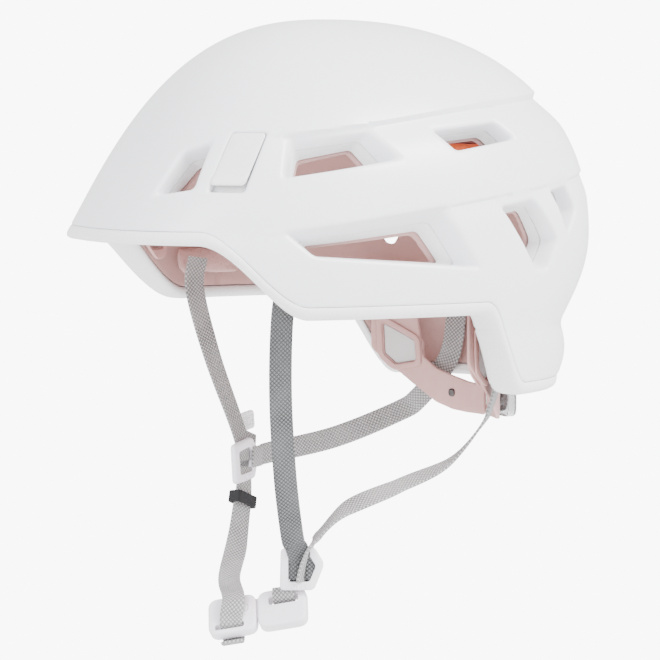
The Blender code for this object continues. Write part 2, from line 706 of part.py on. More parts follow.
def buckle_frame(centre):
    """The buckle's axes at one of its centres."""
    return Matrix.Translation(centre) @ BUCKLE_FRAME


def build_socket():
    """The half on the chin strap: a hollow block with a window, a web slot and a mouth."""
    origin = SWING_PIVOT
    body = prism(rounded(BUCKLE_LENGTH, BUCKLE_WIDTH, 5.5), BUCKLE_THICKNESS,
                 buckle_frame(SOCKET_CENTRE))
    socket = add_object("buckle_socket", body, "lilac_plastic", origin)
    mouth = prism(rounded(17.0, 13.4, 0.8), 3.6,
                  buckle_frame(in_buckle(-BUCKLE_LENGTH / 2 + 6.5, -2.5, 0, SOCKET_CENTRE)))
    cut(socket, add_object("cut_socket_mouth", mouth, None, cutter=True))
    window = prism(rounded(9.0, 5.0, 2.4), 6.0,
                   buckle_frame(in_buckle(-4.5, -2.5, 3.5, SOCKET_CENTRE)))
    cut(socket, add_object("cut_socket_window", window, None, cutter=True))
    slot = prism(rounded(16.0, 3.6, 1.6), 14.0,
                 buckle_frame(in_buckle(1.5, 7.2, 0, SOCKET_CENTRE)))
    cut(socket, add_object("cut_socket_slot", slot, None, cutter=True))


def build_plug():
    """The half on the near side: a block with a web slot, and the tongue with its catch."""
    body = prism(rounded(BUCKLE_LENGTH, BUCKLE_WIDTH, 5.5), BUCKLE_THICKNESS,
                 buckle_frame(PLUG_CENTRE))
    plug = add_object("buckle_plug", body, "lilac_plastic")
    slot = prism(rounded(16.0, 5.0, 2.0), 14.0, buckle_frame(in_buckle(-1.0, -4.0, 0, PLUG_CENTRE)))
    cut(plug, add_object("cut_plug_slot", slot, None, cutter=True))
    tongue = prism(rounded(14.0, 11.0, 1.5), 2.0,
                   buckle_frame(in_buckle(BUCKLE_LENGTH / 2 + 4.8, -2.5, 0, PLUG_CENTRE)))
    cut(plug, add_object("cut_plug_tongue", tongue, None, cutter=True), "UNION")


def build_release():
    """The sprung button in the socket's window."""
    centre = in_buckle(-4.5, -2.5, 2.55, SOCKET_CENTRE)
    button = prism(rounded(8.0, 4.0, 1.9), 1.6, buckle_frame(centre))
    add_object("release_button", button, "milky_plastic", centre)


build_socket()
build_plug()
build_release()

# The chin strap comes down from the right divider and turns under the socket.
CHIN_TOP = DIVIDER_RIGHT + Vector((2.0, -1.5, -16.5))
CHIN_ACROSS = ((-0.45, 0.75, 0.1), (0.3, 0.8, 0.0))
CHIN_ROUTE = (CHIN_TOP, (-44.5, -32.0, -115.0), (-37.0, -38.0, -132.0), (-19.0, -50.0, -146.0),
              in_buckle(0.5, -10.0, 10.0, SOCKET_CENTRE))
add_object("chin_strap", ribbon(CHIN_ROUTE, CHIN_ACROSS, WEB_WIDTH, 2 * WEB_THICKNESS),
           "web_grey", SWING_PIVOT)

# Short loops of webbing through the two buckle slots.
CHIN_LOOP = ((0.5, 7.2, 7.0), (1.0, 7.2, 0.0), (1.5, 8.2, -5.2), (1.5, 12.2, -5.4), (1.5, 14.2, 0.0))
PLUG_LOOP = ((-1.0, -4.0, -5.5), (-1.0, -4.0, 0.0), (-1.5, -4.6, 4.5))
for name, route, centre, origin in (("chin_loop", CHIN_LOOP, SOCKET_CENTRE, SWING_PIVOT),
                                    ("plug_loop", PLUG_LOOP, PLUG_CENTRE, None)):
    points = [in_buckle(*p, centre) for p in route]
    band = ribbon(points, (BUCKLE_AXIS, BUCKLE_AXIS), WEB_WIDTH, WEB_THICKNESS, 4.0)
    add_object(name, band, "web_grey", origin)

# The keeper rides on the straight top of the chin strap.
CHIN_DOWN = (Vector(CHIN_ROUTE[1]) - CHIN_TOP).normalized()
KEEPER_CENTRE = CHIN_TOP + CHIN_DOWN * 4.5
CHIN_WIDE = Vector(CHIN_ACROSS[0]) - CHIN_DOWN * CHIN_DOWN.dot(Vector(CHIN_ACROSS[0]))
KEEPER_FRAME = frame_at(KEEPER_CENTRE, CHIN_WIDE, CHIN_DOWN)
keeper = add_object("strap_keeper", prism(rounded(16.8, 8.0, 1.5), 6.5, KEEPER_FRAME),
                    "dark_rubber", KEEPER_CENTRE)
keeper_hole = prism(rounded(14.2, 5.2, 0.8), 16.0, KEEPER_FRAME)
cut(keeper, add_object("cut_keeper", keeper_hole, None, cutter=True))

# The chin strap's free end comes up behind the right divider and ends in a moulded tip.
TAIL_ROUTE = (DIVIDER_RIGHT + Vector((-6.3, 2.0, -10.0)), DIVIDER_RIGHT + Vector((-7.8, 2.9, 3.0)),
              DIVIDER_RIGHT + Vector((-10.8, 3.4, 14.0)))
TAIL_ACROSS = ((-0.45, 0.75, 0.1), (-0.45, 0.75, 0.1))
add_object("strap_tail", ribbon(TAIL_ROUTE, TAIL_ACROSS, WEB_WIDTH, WEB_THICKNESS), "web_grey")
tip_frame = frame_at(TAIL_ROUTE[2] + Vector((-2.2, -0.2, 6.3)), TAIL_ACROSS[0], (0.75, 0.45, 0.0))
add_object("strap_tip", prism(rounded(12.0, 10.5, 2.5), 1.8, tip_frame), "milky_plastic")
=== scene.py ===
# %% [markdown]
# # A climbing helmet, from the frame outwards
# A climbing helmet is a hard white shell over a foam core, with a cradle that grips the back of
# the head and straps that meet under the chin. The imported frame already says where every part
# sits and how it moves. This file gives each part its real surface and its real finish, one
# piece at a time, and leaves the frame itself untouched.

# %% Load the frame
import math

import bmesh
import bpy
import numpy as np
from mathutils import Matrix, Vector
from mathutils.geometry import delaunay_2d_cdt


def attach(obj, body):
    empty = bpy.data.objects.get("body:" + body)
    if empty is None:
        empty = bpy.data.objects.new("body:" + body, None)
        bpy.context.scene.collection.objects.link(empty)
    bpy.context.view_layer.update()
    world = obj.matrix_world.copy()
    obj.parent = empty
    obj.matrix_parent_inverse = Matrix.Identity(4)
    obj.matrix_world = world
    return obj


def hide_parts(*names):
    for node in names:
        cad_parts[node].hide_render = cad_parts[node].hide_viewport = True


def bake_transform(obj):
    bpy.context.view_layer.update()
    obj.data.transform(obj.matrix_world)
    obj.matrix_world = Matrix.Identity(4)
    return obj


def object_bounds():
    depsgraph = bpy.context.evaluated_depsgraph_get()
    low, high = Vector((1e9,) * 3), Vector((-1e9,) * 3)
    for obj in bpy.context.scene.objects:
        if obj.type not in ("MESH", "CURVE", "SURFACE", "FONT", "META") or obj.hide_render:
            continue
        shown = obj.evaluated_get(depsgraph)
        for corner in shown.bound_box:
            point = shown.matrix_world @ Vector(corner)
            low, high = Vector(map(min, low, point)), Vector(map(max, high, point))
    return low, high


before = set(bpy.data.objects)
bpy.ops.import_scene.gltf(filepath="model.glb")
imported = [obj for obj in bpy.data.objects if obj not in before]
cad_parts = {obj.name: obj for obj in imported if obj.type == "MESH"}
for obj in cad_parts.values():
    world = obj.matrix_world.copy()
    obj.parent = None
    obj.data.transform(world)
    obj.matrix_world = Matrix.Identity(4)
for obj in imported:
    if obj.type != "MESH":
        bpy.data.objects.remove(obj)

cad_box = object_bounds()
MM = 0.001

# %% [markdown]
# ## Light and camera
# White plastic shows its shape only through soft differences in brightness, so the room is a
# pale dome with one large soft lamp above it on the wearer's left, a weaker one in front, and
# no hard sun.
# The camera stands a metre and a half away with a long lens, which keeps the shell's outline
# honest. The floor lies well below the straps, because the helmet is held by a head.

# %% Camera, floor and lamps
CAMERA_AIM = Vector((0.0, 0.0, -0.0131))
CAMERA_DIRECTION = Vector((0.9033, -0.4212, 0.0819)).normalized()
CAMERA_DISTANCE = 1.5
FLOOR_DROP = 0.16                      # metres of air between the lowest strap and the floor
ROOM_LIGHT = 2.35
BACKDROP_LIGHT = 9.0                   # brightness of the sky and floor as the camera sees them


def add_lamp(name, place, aim, size, power, colour):
    """A square area lamp at a place, turned towards an aim point."""
    data = bpy.data.lights.new(name, "AREA")
    data.size = size
    data.energy = power
    data.color = colour
    lamp = bpy.data.objects.new(name, data)
    lamp.location = place
    lamp.rotation_euler = (Vector(aim) - Vector(place)).to_track_quat("-Z", "Y").to_euler()
    bpy.context.scene.collection.objects.link(lamp)


camera_data = bpy.data.cameras.new("camera")
camera_data.sensor_width = 36.0
camera_data.lens = 153.0
camera_data.shift_x = 0.0023
camera = bpy.data.objects.new("camera", camera_data)
camera.location = CAMERA_AIM + CAMERA_DIRECTION * CAMERA_DISTANCE
camera.rotation_euler = (-CAMERA_DIRECTION).to_track_quat("-Z", "Y").to_euler()
bpy.context.scene.collection.objects.link(camera)
bpy.context.scene.camera = camera

world = bpy.data.worlds.new("studio")
world.use_nodes = True
world.node_tree.nodes["Background"].inputs["Color"].default_value = (1.0, 1.0, 1.0, 1.0)
world.node_tree.nodes["Background"].inputs["Strength"].default_value = ROOM_LIGHT
bpy.context.scene.world = world

add_lamp("key_lamp", (1.3, 0.8, 1.3), (0, 0, 0.05), 0.9, 105.0, (1.0, 0.99, 0.97))
add_lamp("front_lamp", (0.6, -1.5, 0.6), (0, 0, 0.03), 0.8, 24.0, (0.94, 0.96, 1.0))

floor_mesh = bpy.data.meshes.new("floor")
floor_reach, floor_level = 12.0, cad_box[0][2] - FLOOR_DROP
floor_mesh.from_pydata([(x * floor_reach, y * floor_reach, floor_level)
                        for x, y in ((-1, -1), (1, -1), (1, 1), (-1, 1))], [], [(0, 1, 2, 3)])
floor = bpy.data.objects.new("floor", floor_mesh)
bpy.context.scene.collection.objects.link(floor)
floor_paint = bpy.data.materials.new("floor_paint")
floor_paint.use_nodes = True
floor_nodes, floor_links = floor_paint.node_tree.nodes, floor_paint.node_tree.links
floor_nodes["Principled BSDF"].inputs["Base Color"].default_value = (0.86, 0.86, 0.86, 1.0)
floor_nodes["Principled BSDF"].inputs["Roughness"].default_value = 0.9
glow = floor_nodes.new("ShaderNodeEmission")
glow.inputs["Strength"].default_value = BACKDROP_LIGHT
floor_paths = floor_nodes.new("ShaderNodeLightPath")
floor_blend = floor_nodes.new("ShaderNodeMixShader")
floor_links.new(floor_paths.outputs["Is Camera Ray"], floor_blend.inputs[0])
floor_links.new(floor_nodes["Principled BSDF"].outputs[0], floor_blend.inputs[1])
floor_links.new(glow.outputs[0], floor_blend.inputs[2])
floor_links.new(floor_blend.outputs[0], floor_nodes["Material Output"].inputs["Surface"])
floor_mesh.materials.append(floor_paint)

# The room looks white to the camera, while the light that it casts stays soft.
sky_nodes, sky_links = world.node_tree.nodes, world.node_tree.links
bright = sky_nodes.new("ShaderNodeBackground")
bright.inputs["Color"].default_value = (1.0, 1.0, 1.0, 1.0)
bright.inputs["Strength"].default_value = BACKDROP_LIGHT
sky_paths = sky_nodes.new("ShaderNodeLightPath")
sky_blend = sky_nodes.new("ShaderNodeMixShader")
sky_links.new(sky_paths.outputs["Is Camera Ray"], sky_blend.inputs[0])
sky_links.new(sky_nodes["Background"].outputs[0], sky_blend.inputs[1])
sky_links.new(bright.outputs[0], sky_blend.inputs[2])
sky_links.new(sky_blend.outputs[0], sky_nodes["World Output"].inputs["Surface"])
print("floor at", round(floor_level, 4), "m")

# %% [markdown]
# ## Finishes: effects that several materials share
# Real plastic is never one flat value: it has a fine skin from the mould, slow changes in
# gloss where hands touch it, and a little dust in sheltered places. Each effect is a node
# group with named sockets, built once. A group only puts out masks and heights; the shader
# itself stays in every material, with its own plain values.

# %% Node helpers and the moulded skin
def new_group(name, inputs, outputs):
    """A shader node group with named float or vector sockets and its two end nodes."""
    group = bpy.data.node_groups.new(name, "ShaderNodeTree")
    for label, kind, value in inputs:
        item = group.interface.new_socket(name=label, in_out="INPUT", socket_type=kind)
        if value is not None:
            item.default_value = value
    for label in outputs:
        group.interface.new_socket(name=label, in_out="OUTPUT", socket_type="NodeSocketFloat")
    start = group.nodes.new("NodeGroupInput")
    end = group.nodes.new("NodeGroupOutput")
    return group, start, end


def math_node(tree, operation, first, second=None, clamp=False):
    """A Math node whose inputs are sockets or plain numbers; gives back its output."""
    node = tree.nodes.new("ShaderNodeMath")
    node.operation = operation
    node.use_clamp = clamp
    for index, value in enumerate((first, second)):
        if value is None:
            continue
        if isinstance(value, (int, float)):
            node.inputs[index].default_value = value
        else:
            tree.links.new(value, node.inputs[index])
    return node.outputs[0]


def noise_node(tree, vector, scale, detail):
    """A noise texture on a vector; scale is a number or a socket. Gives back its value."""
    node = tree.nodes.new("ShaderNodeTexNoise")
    node.inputs["Detail"].default_value = detail
    tree.links.new(vector, node.inputs["Vector"])
    if isinstance(scale, (int, float)):
        node.inputs["Scale"].default_value = scale
    else:
        tree.links.new(scale, node.inputs["Scale"])
    return node.outputs[0]


def build_moulded_skin():
    """Fine orange peel as a height, and slow blotches from handling as a 0 to 1 mask."""
    group, start, end = new_group(
        "moulded_skin",
        (("Grain Scale", "NodeSocketFloat", 900.0), ("Blotch Scale", "NodeSocketFloat", 28.0)),
        ("Height", "Blotch"))
    place = group.nodes.new("ShaderNodeTexCoord").outputs["Object"]
    fine = noise_node(group, place, start.outputs["Grain Scale"], 3.0)
    slow = noise_node(group, place, start.outputs["Blotch Scale"], 5.0)
    spread = math_node(group, "MULTIPLY_ADD", slow, 2.4, clamp=True)
    spread.node.inputs[2].default_value = -0.7
    group.links.new(fine, end.inputs["Height"])
    group.links.new(spread, end.inputs["Blotch"])
    return group


def build_settled_dust():
    """A mask of faint dust: more where a surface looks up, broken up by noise."""
    group, start, end = new_group(
        "settled_dust", (("Scale", "NodeSocketFloat", 160.0), ("Amount", "NodeSocketFloat", 0.3)),
        ("Mask",))
    place = group.nodes.new("ShaderNodeTexCoord").outputs["Object"]
    split = group.nodes.new("ShaderNodeSeparateXYZ")
    group.links.new(group.nodes.new("ShaderNodeNewGeometry").outputs["Normal"], split.inputs[0])
    upward = math_node(group, "MULTIPLY_ADD", split.outputs["Z"], 0.5, clamp=True)
    upward.node.inputs[2].default_value = 0.5
    speck = noise_node(group, place, start.outputs["Scale"], 6.0)
    broken = math_node(group, "MULTIPLY_ADD", speck, 3.0, clamp=True)
    broken.node.inputs[2].default_value = -1.3
    laid = math_node(group, "MULTIPLY", upward, broken)
    group.links.new(math_node(group, "MULTIPLY", laid, start.outputs["Amount"]),
                    end.inputs["Mask"])
    return group


moulded_skin = build_moulded_skin()
settled_dust = build_settled_dust()
print("groups:", moulded_skin.name, settled_dust.name)

# %% [markdown]
# Webbing and pad cloth are woven, and the weave has to follow the band, not the room. The
# ribbons below carry a UV map measured in millimetres, across and along, so one group can
# draw crossing threads at their true pitch: two diagonal sine waves make the diamonds of the
# weave, and a finer wave along the band makes the single picks. Pads have no useful UV after
# a cloth simulation, so their mesh knit is a cell pattern in object space.

# %% Weave and knit groups
def build_diamond_weave():
    """Diamonds |sin(a + b) sin(a - b)| of a band's UV in millimetres, and fine cross picks."""
    group, start, end = new_group(
        "diamond_weave",
        (("Band", "NodeSocketVector", None), ("Diamond", "NodeSocketFloat", 2.2),
         ("Pick", "NodeSocketFloat", 0.7)),
        ("Height", "Thread"))
    split = group.nodes.new("ShaderNodeSeparateXYZ")
    group.links.new(start.outputs["Band"], split.inputs[0])
    across = math_node(group, "DIVIDE", split.outputs["X"], start.outputs["Diamond"])
    along = math_node(group, "DIVIDE", split.outputs["Y"], start.outputs["Diamond"])
    waves = []
    for operation in ("ADD", "SUBTRACT"):
        turn = math_node(group, "MULTIPLY", math_node(group, operation, across, along), math.pi)
        waves.append(math_node(group, "ABSOLUTE", math_node(group, "SINE", turn)))
    diamond = math_node(group, "MULTIPLY", waves[0], waves[1])
    pick_turn = math_node(group, "DIVIDE", split.outputs["Y"], start.outputs["Pick"])
    pick = math_node(group, "SINE", math_node(group, "MULTIPLY", pick_turn, 2 * math.pi))
    pick = math_node(group, "MULTIPLY_ADD", pick, 0.18)
    pick.node.inputs[2].default_value = 0.2
    group.links.new(math_node(group, "ADD", diamond, pick), end.inputs["Height"])
    group.links.new(math_node(group, "POWER", diamond, 1.1), end.inputs["Thread"])
    return group


def build_spacer_knit():
    """Rounded cells of an open knit as a height, and the holes between them as a mask."""
    group, start, end = new_group(
        "spacer_knit", (("Cells", "NodeSocketFloat", 620.0),), ("Height", "Hole"))
    place = group.nodes.new("ShaderNodeTexCoord").outputs["Object"]
    cells = group.nodes.new("ShaderNodeTexVoronoi")
    group.links.new(place, cells.inputs["Vector"])
    group.links.new(start.outputs["Cells"], cells.inputs["Scale"])
    fuzz = noise_node(group, place, 2500.0, 2.0)
    height = math_node(group, "ADD", cells.outputs["Distance"],
                       math_node(group, "MULTIPLY", fuzz, 0.3))
    hole = math_node(group, "MULTIPLY_ADD", cells.outputs["Distance"], -3.0, clamp=True)
    hole.node.inputs[2].default_value = 1.0
    group.links.new(height, end.inputs["Height"])
    group.links.new(hole, end.inputs["Hole"])
    return group


diamond_weave = build_diamond_weave()
spacer_knit = build_spacer_knit()
print("groups:", diamond_weave.name, spacer_knit.name)

# %% [markdown]
# ## The materials themselves
# Every material starts from a small recipe: the colour in a clean place, the colour in a
# handled place, or for webbing and pad cloth the painted shade in grooves and knit holes,
# and the roughness in both. The groups above say where each holds.
# What never changes over the surface, such as coat or sheen, is set on the shader directly.

# %% Material maker
FINISHES = {}


def place_group(tree, group, **values):
    """A node that holds a group, with plain values for its inputs."""
    node = tree.nodes.new("ShaderNodeGroup")
    node.node_tree = group
    for label, value in values.items():
        node.inputs[label.replace("_", " ")].default_value = value
    return node


def mix_colour(tree, mask, clean, worn):
    """A colour that goes from clean to worn as the mask goes from 0 to 1."""
    node = tree.nodes.new("ShaderNodeMix")
    node.data_type = "RGBA"
    tree.links.new(mask, node.inputs["Factor"])
    for socket, colour in ((node.inputs[6], clean), (node.inputs[7], worn)):
        if isinstance(colour, tuple):
            socket.default_value = (*colour, 1.0)
        else:
            tree.links.new(colour, socket)
    return node.outputs[2]


def span(tree, mask, low, high):
    """A value that goes from low to high as the mask goes from 0 to 1."""
    out = math_node(tree, "MULTIPLY_ADD", mask, high - low)
    out.node.inputs[2].default_value = low
    return out


def bump(tree, height, distance, strength=1.0):
    """A Bump node on a height, with its distance in metres."""
    node = tree.nodes.new("ShaderNodeBump")
    node.inputs["Distance"].default_value = distance
    node.inputs["Strength"].default_value = strength
    tree.links.new(height, node.inputs["Height"])
    return node.outputs[0]


def start_material(name, **constants):
    """A material with a Principled shader whose constant sockets are set by name."""
    mat = bpy.data.materials.new(name)
    mat.use_nodes = True
    shader = mat.node_tree.nodes["Principled BSDF"]
    for label, value in constants.items():
        shader.inputs[label.replace("_", " ")].default_value = value
    FINISHES[name] = mat
    return mat.node_tree, shader


def moulded(name, clean, handled, rough, grain, distance, dust=0.25, **constants):
    """A moulded plastic: skin grain as bump, blotches in colour and gloss, a little dust."""
    tree, shader = start_material(name, **constants)
    skin = place_group(tree, moulded_skin, Grain_Scale=grain)
    dusty = place_group(tree, settled_dust, Amount=dust)
    tint = mix_colour(tree, skin.outputs["Blotch"], clean, handled)
    dust_colour = tuple(0.55 * c + 0.3 for c in clean)
    tint = mix_colour(tree, dusty.outputs["Mask"], tint, dust_colour)
    tree.links.new(tint, shader.inputs["Base Color"])
    tree.links.new(span(tree, skin.outputs["Blotch"], *rough), shader.inputs["Roughness"])
    tree.links.new(bump(tree, skin.outputs["Height"], distance), shader.inputs["Normal"])
    return tree, shader


moulded("shell_satin", (0.79, 0.80, 0.835), (0.765, 0.775, 0.815), (0.30, 0.40), 1400.0, 0.00002,
        dust=0.12, Coat_Weight=0.25, Coat_Roughness=0.22)
moulded("clip_milky", (0.80, 0.80, 0.81), (0.76, 0.76, 0.77), (0.28, 0.40), 1500.0, 0.00002,
        Subsurface_Weight=0.35, Subsurface_Radius=(0.006, 0.006, 0.006), Subsurface_Scale=1.0)
moulded("buckle_lilac", (0.79, 0.75, 0.81), (0.74, 0.70, 0.76), (0.32, 0.44), 1200.0, 0.00003)
moulded("cradle_rose", (0.52, 0.30, 0.28), (0.47, 0.27, 0.25), (0.42, 0.55), 1500.0, 0.00004)
moulded("dark_rubber", (0.006, 0.006, 0.007), (0.010, 0.010, 0.012), (0.55, 0.7), 1800.0,
        0.00005, dust=0.012, Specular_IOR_Level=0.25)
moulded("pin_metal", (0.10, 0.09, 0.09), (0.06, 0.055, 0.055), (0.28, 0.42), 2600.0, 0.00001,
        dust=0.1, Metallic=0.9)
print("moulded finishes:", len(FINISHES))

# %% [markdown]
# Three finishes need more. The foam is a skin of pressed beads, so cells show faintly in its
# gloss and height. Clear parts keep a plain transmission, because only light through them can
# tell them apart. Cloth reads its weave group and has a soft sheen.

# %% Foam, clear plastic and cloth
def pressed_foam(name, clean, seam):
    """White moulded foam: the outlines of pressed beads, slightly sunk and slightly darker."""
    tree, shader = start_material(name, Roughness=0.62)
    place = tree.nodes.new("ShaderNodeTexCoord").outputs["Object"]
    beads = tree.nodes.new("ShaderNodeTexVoronoi")
    beads.feature = "DISTANCE_TO_EDGE"
    beads.inputs["Scale"].default_value = 340.0
    tree.links.new(place, beads.inputs["Vector"])
    edge = math_node(tree, "MULTIPLY", beads.outputs["Distance"], 7.0, clamp=True)
    skin = place_group(tree, moulded_skin, Grain_Scale=2200.0)
    tree.links.new(mix_colour(tree, edge, seam, clean), shader.inputs["Base Color"])
    tree.links.new(span(tree, skin.outputs["Blotch"], 0.55, 0.72), shader.inputs["Roughness"])
    tree.links.new(bump(tree, edge, 0.00001, 0.4), shader.inputs["Normal"])


def clear_plastic(name, tint, rough, transmission):
    """A clear or frosted part: plain transmission, with scuffs in its roughness."""
    tree, shader = start_material(name, IOR=1.49, Transmission_Weight=transmission)
    skin = place_group(tree, moulded_skin, Grain_Scale=700.0, Blotch_Scale=90.0)
    tree.links.new(mix_colour(tree, skin.outputs["Blotch"], tint, tuple(0.96 * c for c in tint)),
                   shader.inputs["Base Color"])
    tree.links.new(span(tree, skin.outputs["Blotch"], *rough), shader.inputs["Roughness"])
    tree.links.new(bump(tree, skin.outputs["Height"], 0.00001), shader.inputs["Normal"])


def webbing(name, ridge, valley_shade):
    """Woven band: light thread tops over crossings darkened with painted shade, from the band's own
    UV map.
    """
    tree, shader = start_material(name, Sheen_Weight=0.1, Sheen_Roughness=0.5)
    band = tree.nodes.new("ShaderNodeUVMap")
    band.uv_map = "band"
    weave = place_group(tree, diamond_weave)
    tree.links.new(band.outputs[0], weave.inputs["Band"])
    skin = place_group(tree, moulded_skin, Blotch_Scale=60.0)
    # The valley colour is painted shade in the weave's grooves.
    thread = mix_colour(tree, weave.outputs["Thread"], valley_shade, ridge)
    worn = tuple(0.86 * c for c in ridge)
    part = math_node(tree, "MULTIPLY", skin.outputs["Blotch"], 0.4)
    tree.links.new(mix_colour(tree, part, thread, worn), shader.inputs["Base Color"])
    tree.links.new(span(tree, weave.outputs["Thread"], 0.95, 0.78), shader.inputs["Roughness"])
    tree.links.new(bump(tree, weave.outputs["Height"], 0.00022), shader.inputs["Normal"])


def pad_cloth(name, top, hole, cells=620.0, depth=0.00025):
    """Knitted pad cover: painted shade between its cells, with fuzz and a soft sheen."""
    tree, shader = start_material(name, Sheen_Weight=0.5, Sheen_Roughness=0.45)
    knit = place_group(tree, spacer_knit, Cells=cells)
    skin = place_group(tree, moulded_skin, Blotch_Scale=45.0)
    # The hole colour is painted shade in the gaps of the knit.
    base = mix_colour(tree, knit.outputs["Hole"], top, hole)
    part = math_node(tree, "MULTIPLY", skin.outputs["Blotch"], 0.35)
    tree.links.new(mix_colour(tree, part, base, tuple(0.85 * c for c in top)),
                   shader.inputs["Base Color"])
    tree.links.new(span(tree, knit.outputs["Hole"], 0.82, 0.95), shader.inputs["Roughness"])
    tree.links.new(bump(tree, knit.outputs["Height"], depth), shader.inputs["Normal"])


pressed_foam("foam_white", (0.80, 0.80, 0.81), (0.76, 0.76, 0.77))
clear_plastic("case_clear", (0.92, 0.94, 0.95), (0.06, 0.14), 0.85)
clear_plastic("pane_frosted", (0.90, 0.89, 0.90), (0.30, 0.42), 0.45)
# The second colour of each webbing is painted shade in its weave's grooves.
webbing("strap_grey", (0.47, 0.46, 0.46), (0.085, 0.082, 0.082))
# A darker copy of the grey webbing: painted shade on the near front strap and its fold.
webbing("strap_shaded_grey", (0.16, 0.165, 0.17), (0.008, 0.009, 0.010))
# The second colour of each pad is painted shade in its knit's holes.
pad_cloth("pad_orange", (0.83, 0.16, 0.045), (0.55, 0.08, 0.02))
pad_cloth("pad_rose", (0.52, 0.31, 0.29), (0.38, 0.21, 0.20))
pad_cloth("liner_rose", (0.51, 0.31, 0.29), (0.44, 0.26, 0.245), 1500.0, 0.00006)
print("finishes:", ", ".join(sorted(FINISHES)))

# %% [markdown]
# ## Making surfaces
# Most parts of a helmet are sheets: the shell, the foam, the liner and the flat plastic parts
# are all two faces with holes between them. So one maker serves them all. An outline and its
# holes lie in a flat pattern, the pattern is filled with triangles, and a formula carries
# every point of it to its place in space. The edges are rows of points that run from the top
# face round a small radius to the bottom face, which is what gives moulded parts their soft
# highlights.

# %% Outlines with round corners
def grown(corners, amount):
    """Corners of a polygon whose edges have moved outwards by amount: each corner slides along
    the sum of its two edge normals, divided by one plus their dot product."""
    corners = np.asarray(corners, float)
    ahead = np.roll(corners, -1, 0) - corners
    area = (corners[:, 0] * np.roll(corners[:, 1], -1) - np.roll(corners[:, 0], -1)
            * corners[:, 1]).sum()
    normal = np.stack([ahead[:, 1], -ahead[:, 0]], 1) * np.sign(area)
    normal /= np.linalg.norm(normal, axis=1, keepdims=True)
    before = np.roll(normal, 1, 0)
    share = 1 + (normal * before).sum(1, keepdims=True)
    return corners + amount * (normal + before) / share


def round_loop(corners, radius, counts, arc=7):
    """Closed outline with rounded corners. Each corner is a parabola between two points that
    lie radius before and after it; between corners run straight rows of counts points."""
    corners = np.asarray(corners, float)
    ahead = np.roll(corners, -1, 0) - corners
    length = np.linalg.norm(ahead, axis=1, keepdims=True)
    unit = ahead / length
    back = np.roll(unit, 1, 0)
    cut = np.minimum(radius, 0.45 * np.minimum(length, np.roll(length, 1, 0)))
    enter, leave = corners - back * cut, corners + unit * cut
    t = np.linspace(0, 1, arc)[:, None]
    pieces = []
    for k in range(len(corners)):
        pieces.append((1 - t) ** 2 * enter[k] + 2 * t * (1 - t) * corners[k] + t ** 2 * leave[k])
        s = (np.arange(1, counts[k] + 1) / (counts[k] + 1))[:, None]
        pieces.append(leave[k] + s * (enter[(k + 1) % len(corners)] - leave[k]))
    return np.concatenate(pieces)


def edge_counts(corners, spacing):
    """How many points each edge gets for about the given spacing."""
    corners = np.asarray(corners, float)
    length = np.linalg.norm(np.roll(corners, -1, 0) - corners, axis=1)
    return np.maximum(1, np.round(0.8 * length / spacing)).astype(int)


def box_corners(width, height, centre=(0.0, 0.0)):
    """Corners of a rectangle, anticlockwise."""
    x, y = centre
    return [(x - width / 2, y - height / 2), (x + width / 2, y - height / 2),
            (x + width / 2, y + height / 2), (x - width / 2, y + height / 2)]


print("a 20 by 10 outline grown by 1:", grown(box_corners(20, 10), 1.0).tolist())

# %% Filling a pattern with triangles
CHUNK = 3000                           # points that are measured at a time, to spare memory
FAR = 1e9


def loop_gap(points, loop):
    """Distance of each point from a closed outline, negative inside: the least distance to
    its segments, with the sign from counting crossings of a line towards +X."""
    gap = np.full(len(points), FAR)
    start, step = loop, np.roll(loop, -1, 0) - loop
    square = np.maximum((step ** 2).sum(1), 1e-12)
    for first in range(0, len(points), CHUNK):
        some = points[first:first + CHUNK]
        offset = some[:, None] - start[None]
        t = np.clip((offset * step).sum(-1) / square, 0, 1)
        near = np.sqrt(((offset - t[..., None] * step) ** 2).sum(-1)).min(1)
        above = (start[None, :, 1] > some[:, None, 1]) != (
            (start + step)[None, :, 1] > some[:, None, 1])
        rise = np.where(np.abs(step[:, 1]) < 1e-12, 1e-12, step[:, 1])
        cross = start[:, 0] + (some[:, None, 1] - start[:, 1]) * step[:, 0] / rise
        odd = (above & (some[:, None, 0] < cross)).sum(1) % 2 == 1
        gap[first:first + CHUNK] = np.where(odd, -near, near)
    return gap


